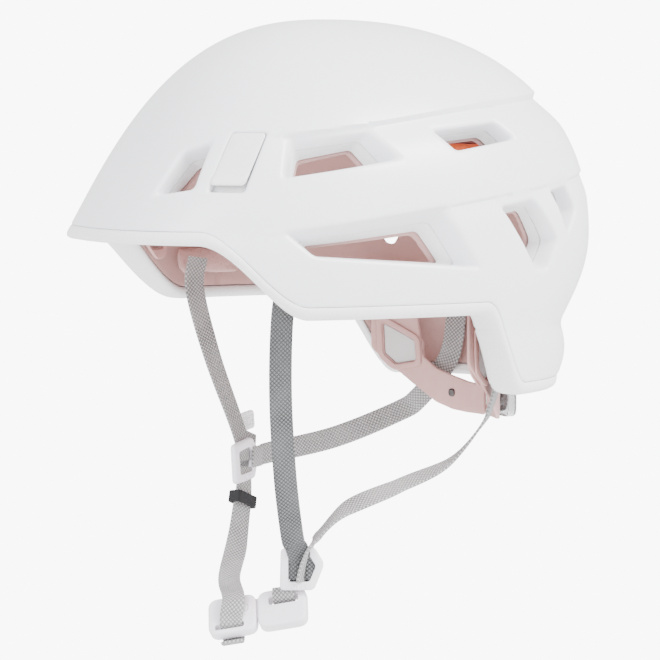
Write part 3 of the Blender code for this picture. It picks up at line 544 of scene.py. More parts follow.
def flat_fill(loops, spacing, extra=None, crowded=None):
    """Triangles inside loops[0] and outside the other loops. Inner points are a hexagonal
    grid, kept half a step away from every outline; extra points join them, and crowded says
    where grid points give way to those. The outlines' points come first, in order. Holes are
    convex, so a triangle with all its corners on one hole's outline lies in that hole."""
    low, high = loops[0].min(0), loops[0].max(0)
    xs = np.arange(low[0], high[0] + spacing, spacing)
    ys = np.arange(low[1], high[1] + spacing, spacing * 0.866)
    grid_x, grid_y = np.meshgrid(xs, ys)
    grid_x = grid_x + (np.arange(len(ys)) % 2)[:, None] * spacing / 2
    grid = np.stack([grid_x.ravel(), grid_y.ravel()], 1)
    if extra is not None:
        grid = np.concatenate([grid[~crowded(grid)], extra])
    for index, loop in enumerate(loops):
        near = ((grid > loop.min(0) - spacing) & (grid < loop.max(0) + spacing)).all(1)
        gap = np.full(len(grid), FAR)
        gap[near] = loop_gap(grid[near], loop)
        grid = grid[gap < -0.55 * spacing] if index == 0 else grid[gap > 0.55 * spacing]
    points = np.concatenate(list(loops) + [grid])
    edges, first = [], 0
    for loop in loops:
        count = len(loop)
        edges += [(first + k, first + (k + 1) % count) for k in range(count)]
        first += count
    out = delaunay_2d_cdt([Vector(p) for p in points.tolist()], edges, [], 1, 1e-7)
    home = np.array([sources[0] for sources in out[3]])
    triangles = home[np.array(out[2])]
    owner = np.zeros(len(points), int)         # which hole a point belongs to, 0 for none
    first = 0
    for index, loop in enumerate(loops):
        owner[first:first + len(loop)] = index
        first += len(loop)
    held = owner[triangles]
    in_hole = (held[:, 0] > 0) & (held[:, 0] == held[:, 1]) & (held[:, 0] == held[:, 2])
    return points, [tuple(face) for face in triangles[~in_hole].tolist()]


print("a filled square:", len(flat_fill([np.array([(0, 0), (9, 0), (9, 9), (0, 9)], float)], 3)[1]),
      "triangles")

# %% [markdown]
# A closed piece is two filled patterns and the rows of edge points that join them. The maker
# below takes, for every outline, an array with one row for each step round the edge: the
# first row lies on the top face and the last on the bottom face. Its points are triples of
# pattern place and depth, and `place` is the formula that turns those into millimetres.

# %% The two-faced solid
def lay_mesh(name, points, faces, sharp=38.0):
    """An object at the origin from points in millimetres; faces are made to point outwards."""
    mesh = bpy.data.meshes.new(name)
    mesh.from_pydata((np.asarray(points) * MM).tolist(), [], faces)
    bm = bmesh.new()
    bm.from_mesh(mesh)
    bmesh.ops.recalc_face_normals(bm, faces=bm.faces)
    bm.to_mesh(mesh)
    bm.free()
    mesh.shade_smooth()
    mesh.set_sharp_from_angle(angle=math.radians(sharp))
    obj = bpy.data.objects.new(name, mesh)
    bpy.context.scene.collection.objects.link(obj)
    return obj


def ring_faces(rows):
    """Quads between successive closed rows of point numbers."""
    near, far = rows[:-1], rows[1:]
    quads = np.stack([near, np.roll(near, -1, 1), np.roll(far, -1, 1), far], -1)
    return [tuple(q) for q in quads.reshape(-1, 4).tolist()]


def capped_faces(rows, count):
    """Quads between all rows of a grid of points, and one face over each end row."""
    numbers = np.arange(rows * count).reshape(rows, count)
    return ring_faces(numbers) + [tuple(numbers[0].tolist()), tuple(numbers[-1][::-1].tolist())]


def pierced_solid(name, rings, place, spacing, extra=None, crowded=None, sharp=38.0):
    """Closed solid: the first and last rows of all rings are filled, the rows between them
    form the edges. rings holds arrays (rows, points, 3) of pattern place and depth."""
    points, faces, starts = [], [], []
    total = 0
    for row in (0, -1):
        loops = [ring[row, :, :2] for ring in rings]
        more = (extra, crowded) if row == 0 else (None, None)
        flat, triangles = flat_fill(loops, spacing, *more)
        depth = np.full((len(flat), 1), rings[0][row, 0, 2])
        points.append(np.concatenate([flat, depth], 1))
        faces += [tuple(total + v for v in face) for face in triangles]
        starts.append(total)
        total += len(flat)
    offset = 0
    for ring in rings:
        rows, count = ring.shape[:2]
        middle = total + np.arange((rows - 2) * count).reshape(rows - 2, count)
        points.append(ring[1:-1].reshape(-1, 3))
        total += (rows - 2) * count
        ends = [np.arange(count)[None] + start + offset for start in starts]
        faces += ring_faces(np.concatenate([ends[0], middle, ends[1]]))
        offset += count
    placed = place(np.concatenate(points))
    return lay_mesh(name, placed, faces, sharp)


def finish_piece(obj, finish, body, nodes=()):
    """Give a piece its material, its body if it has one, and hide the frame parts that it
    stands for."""
    obj.data.materials.clear()
    obj.data.materials.append(FINISHES[finish])
    if body:
        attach(obj, body)
    if nodes:
        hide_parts(*nodes)
    print(f"{obj.name}: {len(obj.data.polygons)} faces, {finish}, on {body or 'two bodies'}")
    return obj


# %% [markdown]
# ## The head form
# A helmet's outside is a stack of slices. Each slice is a superellipse, an oval with slightly
# square shoulders: its half-width and its reach to the front and back depend on height. The
# lower edge rises to the brim and drops to the nape. `dome` says where a point lies from its
# direction and its share of the way down from the crown, and `under` goes a depth below it.

# %% Slices, rim and dome
CROWN, WIDEST = 152.0, 38.0
HALF_WIDTH, FRONT_REACH, BACK_REACH = 106.0, 141.0, 143.3
RIM_FRONT, RIM_TAIL = 37.5, -44.5
SHELL_LIFT = 7.0                       # the shell ends this far above the rim, over the bead
SHELL_DEPTH, FOAM_OUT, FOAM_IN = 1.6, 5.2, 17.0
LINER_OUT, LINER_IN = 17.9, 19.9
PAD_OUT, PAD_IN = 20.8, 26.8


def smooth(t):
    """0 to 1 with flat ends: 3 t squared minus 2 t cubed."""
    t = np.clip(t, 0.0, 1.0)
    return t * t * (3 - 2 * t)


def slice_radius(azimuth, z):
    """Distance from the axis: (|cos| / half-width) ^ p + (|sin| / reach) ^ p, to the power
    of -1 / p, with p 2.4 in front and 2.25 behind. Above the widest slice the half-width and
    reaches shrink with powers of the rise, below it they tuck in slightly."""
    z = np.minimum(z, CROWN - 0.001)
    rise = np.clip((z - WIDEST) / (CROWN - WIDEST), 0, 1)
    below = np.maximum(0.0, WIDEST - z)
    width = np.where(z > WIDEST, HALF_WIDTH * (1 - rise ** 2.2) ** 0.47,
                     HALF_WIDTH - 6 * np.minimum(1, below / WIDEST) ** 2
                     - 0.2 * np.maximum(0, -z))
    front = np.where(z > WIDEST, FRONT_REACH * (1 - rise ** 0.87) ** 0.375,
                     FRONT_REACH - 0.12 * below)
    drop = np.clip((z + 9) / 47, 0, 1)
    tail = np.clip((-9 - z) / 30, 0, 1)
    back = np.where(z > WIDEST, BACK_REACH * (1 - rise ** 2.2) ** 0.45,
                    126.5 + 16.8 * np.sin(np.pi / 2 * drop) + 4 * np.sin(np.pi * tail))
    ahead = np.sin(azimuth) < 0
    reach = np.where(ahead, front, back)
    power = np.where(ahead, 2.4, 2.25)
    c, s = np.abs(np.cos(azimuth)), np.abs(np.sin(azimuth))
    return ((c / width) ** power + (s / reach) ** power) ** (-1 / power)


def rim_height(azimuth):
    """Lower edge: the brim's height in front, zero beside the ears, the tail's behind."""
    y = np.sin(azimuth) * slice_radius(azimuth, np.zeros_like(azimuth))
    return RIM_FRONT * smooth((-54 - y) / 50) + RIM_TAIL * smooth((y - 43) / 41)


def dome(azimuth, share, lift):
    """Outer surface: height falls from the crown to the lifted rim with the cosine of share
    times a quarter turn, and the slice there gives the radius."""
    low = rim_height(azimuth) + lift
    z = low + (CROWN - low) * np.cos(np.pi / 2 * share)
    radius = slice_radius(azimuth, z)
    return np.stack([radius * np.cos(azimuth), radius * np.sin(azimuth), z], -1)


def under(azimuth, share, depth, lift=SHELL_LIFT):
    """Point at a depth below the dome along its normal, which turns level near the rim."""
    share = np.maximum(share, 0.004)
    step = 0.004
    across = dome(azimuth + step, share, lift) - dome(azimuth - step, share, lift)
    down = dome(azimuth, np.minimum(1, share + step), lift) - dome(azimuth, share - step, lift)
    point = dome(azimuth, share, lift)
    normal = np.cross(down, across)
    normal /= np.linalg.norm(normal, axis=-1, keepdims=True)
    normal *= np.where((normal * point).sum(-1, keepdims=True) < 0, -1.0, 1.0)
    flat = normal * np.array([1.0, 1.0, 0.0])
    size = np.linalg.norm(flat, axis=-1, keepdims=True)
    turn = smooth((share - 0.65) / 0.35)[..., None] * (size > 0.2)
    normal = normal * (1 - turn) + flat / np.maximum(size, 1e-6) * turn
    normal /= np.linalg.norm(normal, axis=-1, keepdims=True)
    return point - normal * np.asarray(depth)[..., None]


def share_at(azimuth, z, lift=SHELL_LIFT):
    """The share down from the crown at which the surface has height z."""
    low = rim_height(azimuth) + lift
    return np.arccos(np.clip((z - low) / (CROWN - low), 0, 1)) / (np.pi / 2)


tips = dome(np.radians([-90.0, 0.0, 90.0]), np.ones(3), 0.0)
print("brim, ear and nape of the rim:", np.round(tips, 1).tolist())

# %% [markdown]
# The pattern for the dome is a disc: its centre is the crown, its edge is the rim, and the
# distance from the centre is the share of the way down. Unlike a globe's meridians, a disc has
# no seam and no pole, so triangles stay even right over the crown.

# %% The disc pattern and the moulded relief
DISC = 180.0                           # radius of the pattern in millimetres
DEGREE = 1.92                          # millimetres of shell in a degree, beside the ears
RELIEF_FADE = 9.5                      # depth at which the relief has died out


def lip_height(side):
    """Lower edge of the crown cap, from beside the clip up to the back, side in degrees."""
    t = np.clip((side + 40.5) / 130.5, 0, 1)
    return 92.7 + 22.3 * np.sin(np.pi / 2 * t ** 1.15)


def belt_top(side):
    """Upper edge of the belt that runs round the helmet below the upper vents."""
    return 66.8 + 27.2 * np.sin(np.pi / 2 * np.clip((side + 46) / 136, 0, 1) ** 0.93)


def belt_bottom(side):
    """Lower edge of the belt: a straight climb that levels out at the back."""
    climb = 44.8 + 0.273 * (np.minimum(side, 50) + 35.4)
    return climb + 6 * np.sin(np.pi / 2 * np.clip((side - 50) / 40, 0, 1))


def relief(azimuth, z):
    """Millimetres that the shell sinks: a step under the cap's lip that fades out towards
    the belt, a smaller step under the belt, and a soft hollow in front of the side vent."""
    side = np.degrees(np.arctan2(np.sin(azimuth), np.abs(np.cos(azimuth))))
    lip, top, bottom = lip_height(side), belt_top(side), belt_bottom(side)
    below_lip = lip - z
    fade = 1 - smooth(below_lip / np.maximum(lip - top, 1.0))
    cap = (2.7 + 0.7 * smooth((side - 30) / 50)) * smooth((side + 43) / 9)
    cap = cap * smooth(below_lip / 1.8) * fade
    below_belt = bottom - z
    under_belt = 1.5 * smooth(below_belt / 1.8) * (1 - smooth(below_belt / 15))
    under_belt = under_belt * smooth((side + 42) / 12) * (1 - smooth((side - 70) / 12))
    hollow = 1.6 * np.exp(-((side + 47) / 9) ** 2 - ((z - 41) / 11) ** 2)
    return cap + under_belt + hollow


def to_disc(side, z):
    """Pattern place of a point given by its direction in degrees and its height."""
    azimuth = np.radians(side)
    share = share_at(azimuth, z)
    return np.stack([DISC * share * np.cos(azimuth), DISC * share * np.sin(azimuth)], -1)


def disc_place(points, sunk=True):
    """Millimetres of pattern points: the direction and share give the dome, and the depth is
    increased by the relief, which fades out with depth."""
    azimuth = np.arctan2(points[:, 1], points[:, 0])
    share = np.minimum(np.hypot(points[:, 0], points[:, 1]) / DISC, 1.0)
    depth = points[:, 2]
    if sunk:
        z = dome(azimuth, share, SHELL_LIFT)[:, 2]
        depth = depth + relief(azimuth, z) * np.clip(1 - depth / RELIEF_FADE, 0, 1)
    return under(azimuth, share, depth)


def plain_place(points):
    """The same without the relief."""
    return disc_place(points, sunk=False)


def rim_ring(rows, count=640):
    """Rows round the rim from pairs of depth and millimetres short of the rim."""
    turn = np.linspace(0, 2 * np.pi, count, endpoint=False)
    circle = np.stack([np.cos(turn), np.sin(turn)], -1)
    out = [np.concatenate([circle * (DISC - short), np.full((count, 1), depth)], 1)
           for depth, short in rows]
    return np.array(out)


def opening_ring(outer, inner, rows, side, radius=2.6, spacing=1.7):
    """Rows round an opening whose outline goes from outer, at the surface, to inner, at the
    liner. rows are pairs of depth and millimetres by which the outline is grown there."""
    outer = np.array(outer, float) * (DEGREE, 1)
    inner = np.array(inner, float) * (DEGREE, 1)
    counts = edge_counts(outer, spacing)
    out = []
    for depth, grow in rows:
        corners = outer + (inner - outer) * min(1.0, depth / LINER_IN)
        loop = round_loop(grown(corners, grow), radius + 0.8 * grow, counts)
        flat = to_disc(loop[:, 0] / DEGREE, loop[:, 1]) * (side, 1)
        out.append(np.concatenate([flat, np.full((len(flat), 1), depth)], 1))
    return np.array(out)


sample = np.linspace(-40, 90, 5)
print("cap lip:", np.round(lip_height(sample), 1), "belt:", np.round(belt_top(sample), 1))

# %% [markdown]
# ## Shell, foam, liner and bead
# Each side has six openings. A real vent is cast with draft: its walls lean so that the mould
# can be drawn, and most of the slope is in the roof and the rear wall. So every vent has an
# outer and an inner outline. The thin shell turns in over the edge of each vent on a radius
# of about 2.5 mm and lines the first ten millimetres of the wall; foam lines the rest.

# %% Vents and the shell
VENTS = {
    "front_upper": (((-68.5, 61.8), (-64.5, 84.0), (-57.0, 88.5), (-58.0, 65.5)),
                    ((-69.0, 63.6), (-65.6, 80.5), (-57.5, 83.5), (-58.5, 66.2))),
    "mid_upper": (((-36.0, 92.0), (-11.8, 95.6), (-4.0, 80.8), (-36.5, 71.6)),
                  ((-32.8, 84.6), (-17.0, 90.0), (-11.6, 78.2), (-33.2, 71.8))),
    "rear_upper": (((9.2, 95.2), (33.0, 99.6), (36.7, 90.2), (14.8, 84.4)),
                   ((12.0, 94.0), (32.5, 97.6), (35.6, 89.8), (17.0, 85.2))),
    "side": (((-35.2, 44.6), (8.5, 56.2), (19.5, 25.0), (-28.4, 32.5)),
             ((-28.5, 35.0), (3.0, 41.0), (9.5, 27.0), (-27.0, 31.5))),
    "rear_slot": (((26.6, 56.0), (38.2, 59.4), (46.6, 37.2), (43.0, 21.6), (39.0, 22.2)),
                  ((34.0, 50.5), (40.5, 52.5), (45.0, 36.5), (42.6, 26.5), (40.6, 27.5))),
    "back_slot": (((45.6, 63.2), (53.6, 65.6), (55.8, 51.8), (51.0, 40.6)),
                  ((48.8, 59.5), (53.6, 61.5), (55.0, 51.5), (52.2, 44.5))),
}
CLIP = ((-51.5, 93.5), (-42.0, 93.5), (-45.5, 67.5), (-54.0, 67.5))
REAR_CLIP = ((84.5, 88.0), (95.5, 88.0), (94.0, 66.0), (86.0, 66.0))
FINGER_ROOM = 3.2                      # the recess reaches this far below a clip's free edge

SHELL_EDGE = ((0.0, 2.6), (0.1, 1.8), (0.35, 1.1), (0.8, 0.55), (1.5, 0.2), (2.6, 0.0),
              (6.0, 0.0), (9.7, 0.0), (9.9, 0.5), (9.7, 1.1), (5.0, 1.3), (SHELL_DEPTH, 1.6))
RECESS_EDGE = ((0.0, 1.9), (0.1, 1.3), (0.4, 0.75), (0.9, 0.35), (1.8, 0.2), (4.9, 0.0),
               (4.9, 1.0), (SHELL_DEPTH, 1.4))
RIM_EDGE = ((0.0, 1.2), (0.08, 0.6), (0.35, 0.15), (0.8, 0.0), (1.25, 0.15), (1.52, 0.6),
            (SHELL_DEPTH, 1.2))


def recess_corners(clip):
    """The clip's outline with room for a finger below its free edge."""
    return clip[:2] + tuple((side, z - FINGER_ROOM) for side, z in clip[2:])


def relief_points(spacing=0.75):
    """Pattern points along the two relief edges, in rows a few tenths apart, so that the
    triangles follow the steps instead of cutting across them."""
    rows = []
    for line, first, last in ((lip_height, -43, 90), (belt_bottom, -42, 80)):
        side = np.arange(first, last, spacing)
        for drop in (-0.5, 0.1, 0.6, 1.1, 1.7, 2.5, 3.6):
            flat = to_disc(side, line(side) - drop)
            rows += [flat, flat * (-1, 1)]
    return np.concatenate(rows)


def near_relief(grid):
    """Which pattern points lie in the bands that the relief rows fill."""
    azimuth = np.arctan2(grid[:, 1], grid[:, 0])
    side = np.degrees(np.arctan2(grid[:, 1], np.abs(grid[:, 0])))
    share = np.minimum(np.hypot(grid[:, 0], grid[:, 1]) / DISC, 1.0)
    z = dome(azimuth, share, SHELL_LIFT)[:, 2]
    lip, belt = lip_height(side) - z, belt_bottom(side) - z
    on_lip = (lip > -1.6) & (lip < 4.6) & (side > -44)
    return on_lip | ((belt > -1.6) & (belt < 4.6) & (side > -43) & (side < 81))


def vent_rings(rows, radius=2.6):
    """Rows round all twelve vents."""
    return [opening_ring(outer, inner, rows, side, radius)
            for outer, inner in VENTS.values() for side in (1, -1)]


def recess_rings(rows):
    """Rows round the three clip recesses."""
    out = []
    for clip, side in ((CLIP, 1), (CLIP, -1), (REAR_CLIP, 1)):
        corners = recess_corners(clip)
        out.append(opening_ring(corners, corners, rows, side, 1.6))
    return out


shell_edges = [rim_ring(RIM_EDGE)] + vent_rings(SHELL_EDGE) + recess_rings(RECESS_EDGE)
shell_skin = pierced_solid("shell_skin", shell_edges, disc_place, 2.3, relief_points(),
                           near_relief)
finish_piece(shell_skin, "shell_satin", "shell", ("outer_shell",))

# %% [markdown]
# Inside the shell lies the foam. Only the lower part of its vent walls and its floor under
# the clips can be seen, so it uses a coarser filling but the same outlines. The liner is a
# thin fabric sheet against the foam, and long pill shapes are pressed into its sides.

# %% Foam core and pressed liner
FOAM_EDGE = ((FOAM_OUT, 1.9), (10.2, 1.9), (10.3, 0.5), (10.5, 0.0), (16.0, 0.0), (16.6, 0.2),
             (FOAM_IN, 0.8))
FOAM_RIM = ((FOAM_OUT, 0.6), (FOAM_OUT + 0.6, 0.0), (FOAM_IN - 0.6, 0.0), (FOAM_IN, 0.6))
LINER_EDGE = ((LINER_OUT, 1.0), (18.0, 0.4), (18.5, 0.1), (19.3, 0.1), (19.8, 0.4),
              (LINER_IN, 1.0))
LINER_RIM = ((LINER_OUT, 0.8), (18.3, 0.1), (18.9, 0.0), (19.5, 0.1), (LINER_IN, 0.8))

foam = pierced_solid("foam_block", [rim_ring(FOAM_RIM, 480)] + vent_rings(FOAM_EDGE),
                     plain_place, 5.0)
finish_piece(foam, "foam_white", "shell", ("foam_core",))


def pressed_pills(side, z):
    """Depth of the pressed lines: a narrow trough along the edge of each long pill. The gap
    from a pill is the distance to its middle line, less its radius."""
    sunk = np.zeros_like(z)
    for centre in (-22.0, 4.0, 30.0):
        along = np.clip((z - 12) / 46, 0, 1)
        middle_side, middle_z = centre + 10 * along, 12 + 46 * along
        gap = np.hypot((side - middle_side) * 1.7, z - middle_z)
        sunk = sunk + 0.9 * np.exp(-((gap - 8.0) / 0.9) ** 2)
    return sunk


def liner_place(points):
    """The liner: its inner face stands a little higher between the pressed lines."""
    azimuth = np.arctan2(points[:, 1], points[:, 0])
    side = np.degrees(np.arctan2(points[:, 1], np.abs(points[:, 0])))
    share = np.minimum(np.hypot(points[:, 0], points[:, 1]) / DISC, 1.0)
    z = dome(azimuth, share, SHELL_LIFT)[:, 2]
    inner = smooth((points[:, 2] - 19.6) / 0.3)
    return under(azimuth, share, points[:, 2] - pressed_pills(side, z) * inner)


# The fine filling belongs to the liner's inner face, so that face comes first.
liner_edges = [rim_ring(LINER_RIM[::-1], 480)] + vent_rings(LINER_EDGE[::-1])
liner = pierced_solid("liner_sheet", liner_edges, liner_place, 2.6)
finish_piece(liner, "liner_rose", "shell", ("inner_liner",))

# %% [markdown]
# The bead closes the rim. It is one closed profile, a list of depth and height, carried all
# the way round: the height lifts the rim that the point starts from, and the depth goes
# inwards from there. The bead closes up to the shell's rounded edge, so only a soft line shows
# where they meet.

# %% Rim bead
BEAD_PROFILE = ((1.3, 6.95), (0.55, 6.75), (0.2, 6.1), (0.05, 4.6), (0.35, 2.6), (1.2, 1.2),
                (2.6, 0.35), (4.6, 0.0), (9.2, 0.0), (13.6, 0.1), (16.6, 0.6), (18.7, 1.7),
                (19.9, 3.2), (20.2, 4.8), (19.9, 6.0), (19.0, 6.5))


def carried_round(profile, count):
    """Points of a profile of depth and height, one row for each direction."""
    turn = np.linspace(0, 2 * np.pi, count, endpoint=False)
    azimuth = np.repeat(turn[:, None], len(profile), 1)
    depth, height = np.tile(np.array(profile).T[:, None], (1, count, 1))
    return under(azimuth, np.ones_like(azimuth), depth, height)


rows = carried_round(BEAD_PROFILE, 640)
numbers = np.arange(rows.shape[0] * rows.shape[1]).reshape(rows.shape[:2])
bead = lay_mesh("bead_ring", rows.reshape(-1, 3),
                ring_faces(np.concatenate([numbers, numbers[:1]])), 60.0)
finish_piece(bead, "foam_white", "shell", ("rim_bead",))

# %% [markdown]
# ## Clips
# Headlamp clips are thin milky tabs that spring outwards from a hinged upper edge. Each is a
# small two-faced solid on the same dome, with round edges all about and a thicker thumb lip
# at its free end.

# %% Headlamp clips
CLIP_EDGE = ((0.1, -1.0), (0.14, -0.6), (0.3, -0.25), (0.6, -0.05), (1.1, 0.0), (1.6, -0.05),
             (1.95, -0.25), (2.15, -0.6), (2.2, -1.0))


def side_place(points):
    """Millimetres of points given as direction in shell millimetres, height and depth."""
    azimuth = np.radians(points[:, 0] / DEGREE)
    return under(azimuth, share_at(azimuth, points[:, 1]), points[:, 2])


def flat_ring(corners, rows, radius, spacing=1.5, scale=(1.0, 1.0)):
    """Rows round an outline in a plain pattern, from pairs of depth and growth."""
    corners = np.array(corners, float) * scale
    counts = edge_counts(corners, spacing)
    out = []
    for depth, grow in rows:
        loop = round_loop(grown(corners, grow), max(0.3, radius + grow), counts)
        out.append(np.concatenate([loop, np.full((len(loop), 1), depth)], 1))
    return np.array(out)


def build_clip(name, corners, body, node, right=False):
    """A tab on the dome; the thumb lip is a swelling near the free edge."""
    free = min(z for _, z in corners)

    def place(points):
        swell = 0.7 * np.exp(-((points[:, 1] - free - 3.0) / 1.8) ** 2) * (points[:, 2] < 1.2)
        out = side_place(points - swell[:, None] * (0, 0, 1))
        return out * (-1, 1, 1) if right else out

    tab = pierced_solid(name, [flat_ring(corners, CLIP_EDGE, 2.2, 1.2, (DEGREE, 1))], place, 1.6)
    finish_piece(tab, "clip_milky", body, (node,))


build_clip("clip_tab_left", CLIP, "clip_left", "headlamp_clip_left")
build_clip("clip_tab_right", CLIP, "clip_right", "headlamp_clip_right", True)
build_clip("clip_tab_rear", REAR_CLIP, "clip_rear", "rear_headlamp_clip")

# %% [markdown]
# ## Webbing
# A strap is a flat woven band that bends and twists along its route. Its route is a smooth
# curve through a few listed places, and its cross-section is a thin loop with round edges.
# The band also carries a UV map in millimetres, so the weave keeps its true pitch however
# the strap turns. The near front strap wears a darker copy of the grey webbing, which is
# painted shade, and the others wear the plain grey.

# %% Bands along a route
def smooth_route(points, spacing=1.6):
    """Places along a Catmull-Rom curve: between two of its points, the cubic that leaves each
    in the direction of the line between that point's neighbours."""
    pts = np.array([tuple(p) for p in points], float)
    ends = np.concatenate([[2 * pts[0] - pts[1]], pts, [2 * pts[-1] - pts[-2]]])
    out = []
    for k in range(1, len(ends) - 2):
        a, b, c, d = ends[k - 1:k + 3]
        t = np.linspace(0, 1, max(2, int(np.linalg.norm(c - b) / spacing)), endpoint=False)
        t = t[:, None]
        out.append(0.5 * (2 * b + (c - a) * t + (2 * a - 5 * b + 4 * c - d) * t ** 2
                          + (3 * b - a - 3 * c + d) * t ** 3))
    return np.concatenate(out + [pts[-1:]])


def band_section(width, thickness, rim=5):
    """A flat loop with half-round edges, as width and thickness places, anticlockwise."""
    radius = thickness / 2
    turn = np.linspace(-np.pi / 2, np.pi / 2, rim)
    flat = np.linspace(1, -1, 9)[1:-1] * (width / 2 - radius)
    right = np.stack([width / 2 - radius + radius * np.cos(turn), radius * np.sin(turn)], 1)
    top = np.stack([flat, np.full(7, radius)], 1)
    return np.concatenate([right, top, -right, -top])


def sweep(name, route, across, section, sharp=50.0):
    """A section carried along a route. The width direction goes from across[0] to across[1]
    and is kept square to the route; thickness is square to both. The ends are filled."""
    ahead = np.gradient(route, axis=0)
    ahead /= np.linalg.norm(ahead, axis=1, keepdims=True)
    share = np.linspace(0, 1, len(route))[:, None]
    wide = np.array(across[0], float) * (1 - share) + np.array(across[1], float) * share
    wide = wide - ahead * (wide * ahead).sum(1, keepdims=True)
    wide /= np.linalg.norm(wide, axis=1, keepdims=True)
    thick = np.cross(ahead, wide)
    points = (route[:, None] + section[None, :, :1] * wide[:, None]
              + section[None, :, 1:] * thick[:, None])
    rows, count = points.shape[:2]
    obj = lay_mesh(name, points.reshape(-1, 3), capped_faces(rows, count), sharp)
    length = np.concatenate([[0], np.cumsum(np.linalg.norm(np.diff(route, axis=0), axis=1))])
    per_vertex = np.stack([np.tile(section[:, 0], rows), np.repeat(length, count)], 1)
    loops = np.zeros(len(obj.data.loops), int)
    obj.data.loops.foreach_get("vertex_index", loops)
    layer = obj.data.uv_layers.new(name="band")
    layer.data.foreach_set("uv", per_vertex[loops].astype(np.float32).ravel())
    return obj


WEB_WIDTH, WEB_THICKNESS = 12.0, 1.4
WEB = band_section(WEB_WIDTH, WEB_THICKNESS)
RIGHT_ACROSS = (-0.45, 0.75, 0.1)      # the width direction of the webbing at the right divider
STRAPS = {
    "front_strap_left": (
        ((61.5, -50, 24), (60.5, -54, 0), (57, -53.5, -40), (49, -47.5, -83), (37, -38, -117),
         (34.2, -34.6, -122.6), (31.8, -31.5, -129), (29.8, -29.6, -136), (29.0, -29.4, -142.2)),
        ((0.1, 1, 0), (0.35, 0.9, 0))),
    "rear_strap_left": (
        ((44, 87, 5), (47, 81.5, -25), (49.7, 76.5, -38), (51.7, 71.3, -51),
         (52.5, 64.5, -62.5), (48, 48, -81), (45, 20, -92.5), (41.5, -9, -103.5),
         (36.5, -23.5, -118), (34.5, -26, -122.6), (32.6, -27.5, -129), (31.8, -29, -136),
         (31.2, -29.8, -142.2)),
        ((0.78, -0.62, 0), (0.3, -0.6, -0.7))),
    "front_strap_right": (
        ((-61.5, -50, 24), (-61, -52, 6), (-60, -42.5, -30), (-55, -32, -63),
         (-52.5, -29, -74.4), (-51.2, -28, -81), (-50.6, -27.6, -88)),
        ((-0.1, 1, 0), (-0.5, 0.75, 0.1))),
    "rear_strap_right": (
        ((-35, 96.5, 5), (-35, 93.5, -25), (-40, 90, -40), (-52, 80.5, -58), (-60, 72, -66),
         (-65, 34, -79.5), (-60, -9, -85.5), (-55, -15.5, -86), (-51.5, -22, -86.5)),
        ((-0.7, -0.6, 0), (0.1, 0, 1))),
}
for name, (places, across) in STRAPS.items():
    strap = sweep(f"{name}_web", smooth_route(places), across, WEB)
    # The near front strap wears the darker copy of the grey webbing, which is painted shade.
    finish = "strap_shaded_grey" if name == "front_strap_left" else "strap_grey"
    finish_piece(strap, finish, "shell", (name,))

# %% [markdown]
# ## Flat plastic parts in a tilted frame
# Dividers, buckle halves, the keeper and the strap's end are all plates with holes, each in
# its own tilted plane. The same two-faced maker serves them, with a placing formula that
# takes pattern x and y along two directions and the depth back along the plate's normal.

# %% Tilted plates
def plate_axes(x_axis, normal):
    """Three square directions: x along x_axis, z as near to normal as that allows."""
    x = np.array(x_axis, float)
    x /= np.linalg.norm(x)
    y = np.cross(normal, x)
    y /= np.linalg.norm(y)
    return np.array([x, y, np.cross(x, y)])


def plate_place(centre, axes, thickness):
    """A formula from pattern x, y and depth to millimetres, the middle of the plate at
    centre: x and y run along the first two axes, depth back along the third."""
    def place(points):
        local = points * (1, 1, -1) + (0, 0, thickness / 2)
        return np.array(centre, float) + local @ axes
    return place


def round_edge(thickness, radius, steps=4):
    """Pairs of depth and growth for an edge with both rims rounded."""
    turn = np.linspace(0, np.pi / 2, steps + 1)
    upper = [(radius * (1 - math.cos(a)), -radius * (1 - math.sin(a))) for a in turn]
    lower = [(thickness - depth, grow) for depth, grow in reversed(upper)]
    return tuple(upper + lower)


def hole_edge(thickness, radius, steps=4):
    """The same for a hole, whose outline is wider at both faces."""
    return tuple((depth, -grow) for depth, grow in round_edge(thickness, radius, steps))


def plate(name, centre, axes, thickness, outline, holes=(), rim=0.6, spacing=1.2):
    """A plate with round edges; outline and holes are pairs of corners and corner radius."""
    corners, radius = outline
    rings = [flat_ring(corners, round_edge(thickness, rim), radius, spacing)]
    for corners, radius in holes:
        rings.append(flat_ring(corners, hole_edge(thickness, min(rim, 0.35)), radius, spacing))
    return pierced_solid(name, rings, plate_place(centre, axes, thickness), spacing * 1.5)


DIVIDER_OUTLINE = ((-10.5, 11.0), (7.0, 12.0), (12.5, 3.0), (7.0, -11.0), (-11.0, -11.0))
DIVIDER_WINDOW = ((-6.5, 6.5), (4.5, 7.5), (8.0, 2.0), (4.5, -6.5), (-6.5, -6.5))
DIVIDER_LEFT = np.array((31.0, -30.5, -135.5))
DIVIDER_RIGHT = np.array((-50.0, -27.5, -88.0))
DIVIDERS = {"left": (DIVIDER_LEFT, plate_axes((0.42, 0.9, 0), (0.9, -0.42, 0))),
            "right": (DIVIDER_RIGHT, plate_axes(RIGHT_ACROSS, (0.75, 0.45, 0)))}
for word, (centre, axes) in DIVIDERS.items():
    part = plate(f"divider_frame_{word}", centre, axes, 3.4, (DIVIDER_OUTLINE, 2.6),
                 ((DIVIDER_WINDOW, 1.6),), 1.1, 0.9)
    finish_piece(part, "buckle_lilac", "shell", (f"divider_{word}",))
    for k in range(4):
        spot = centre + axes.T @ np.array((-3.6 + 2.2 * k, -9.0, 1.75))
        rib = plate(f"divider_rib_{word}_{k}", spot, axes, 0.7,
                    (box_corners(0.8, 2.4), 0.35), (), 0.25, 0.5)
        finish_piece(rib, "buckle_lilac", "shell", ())

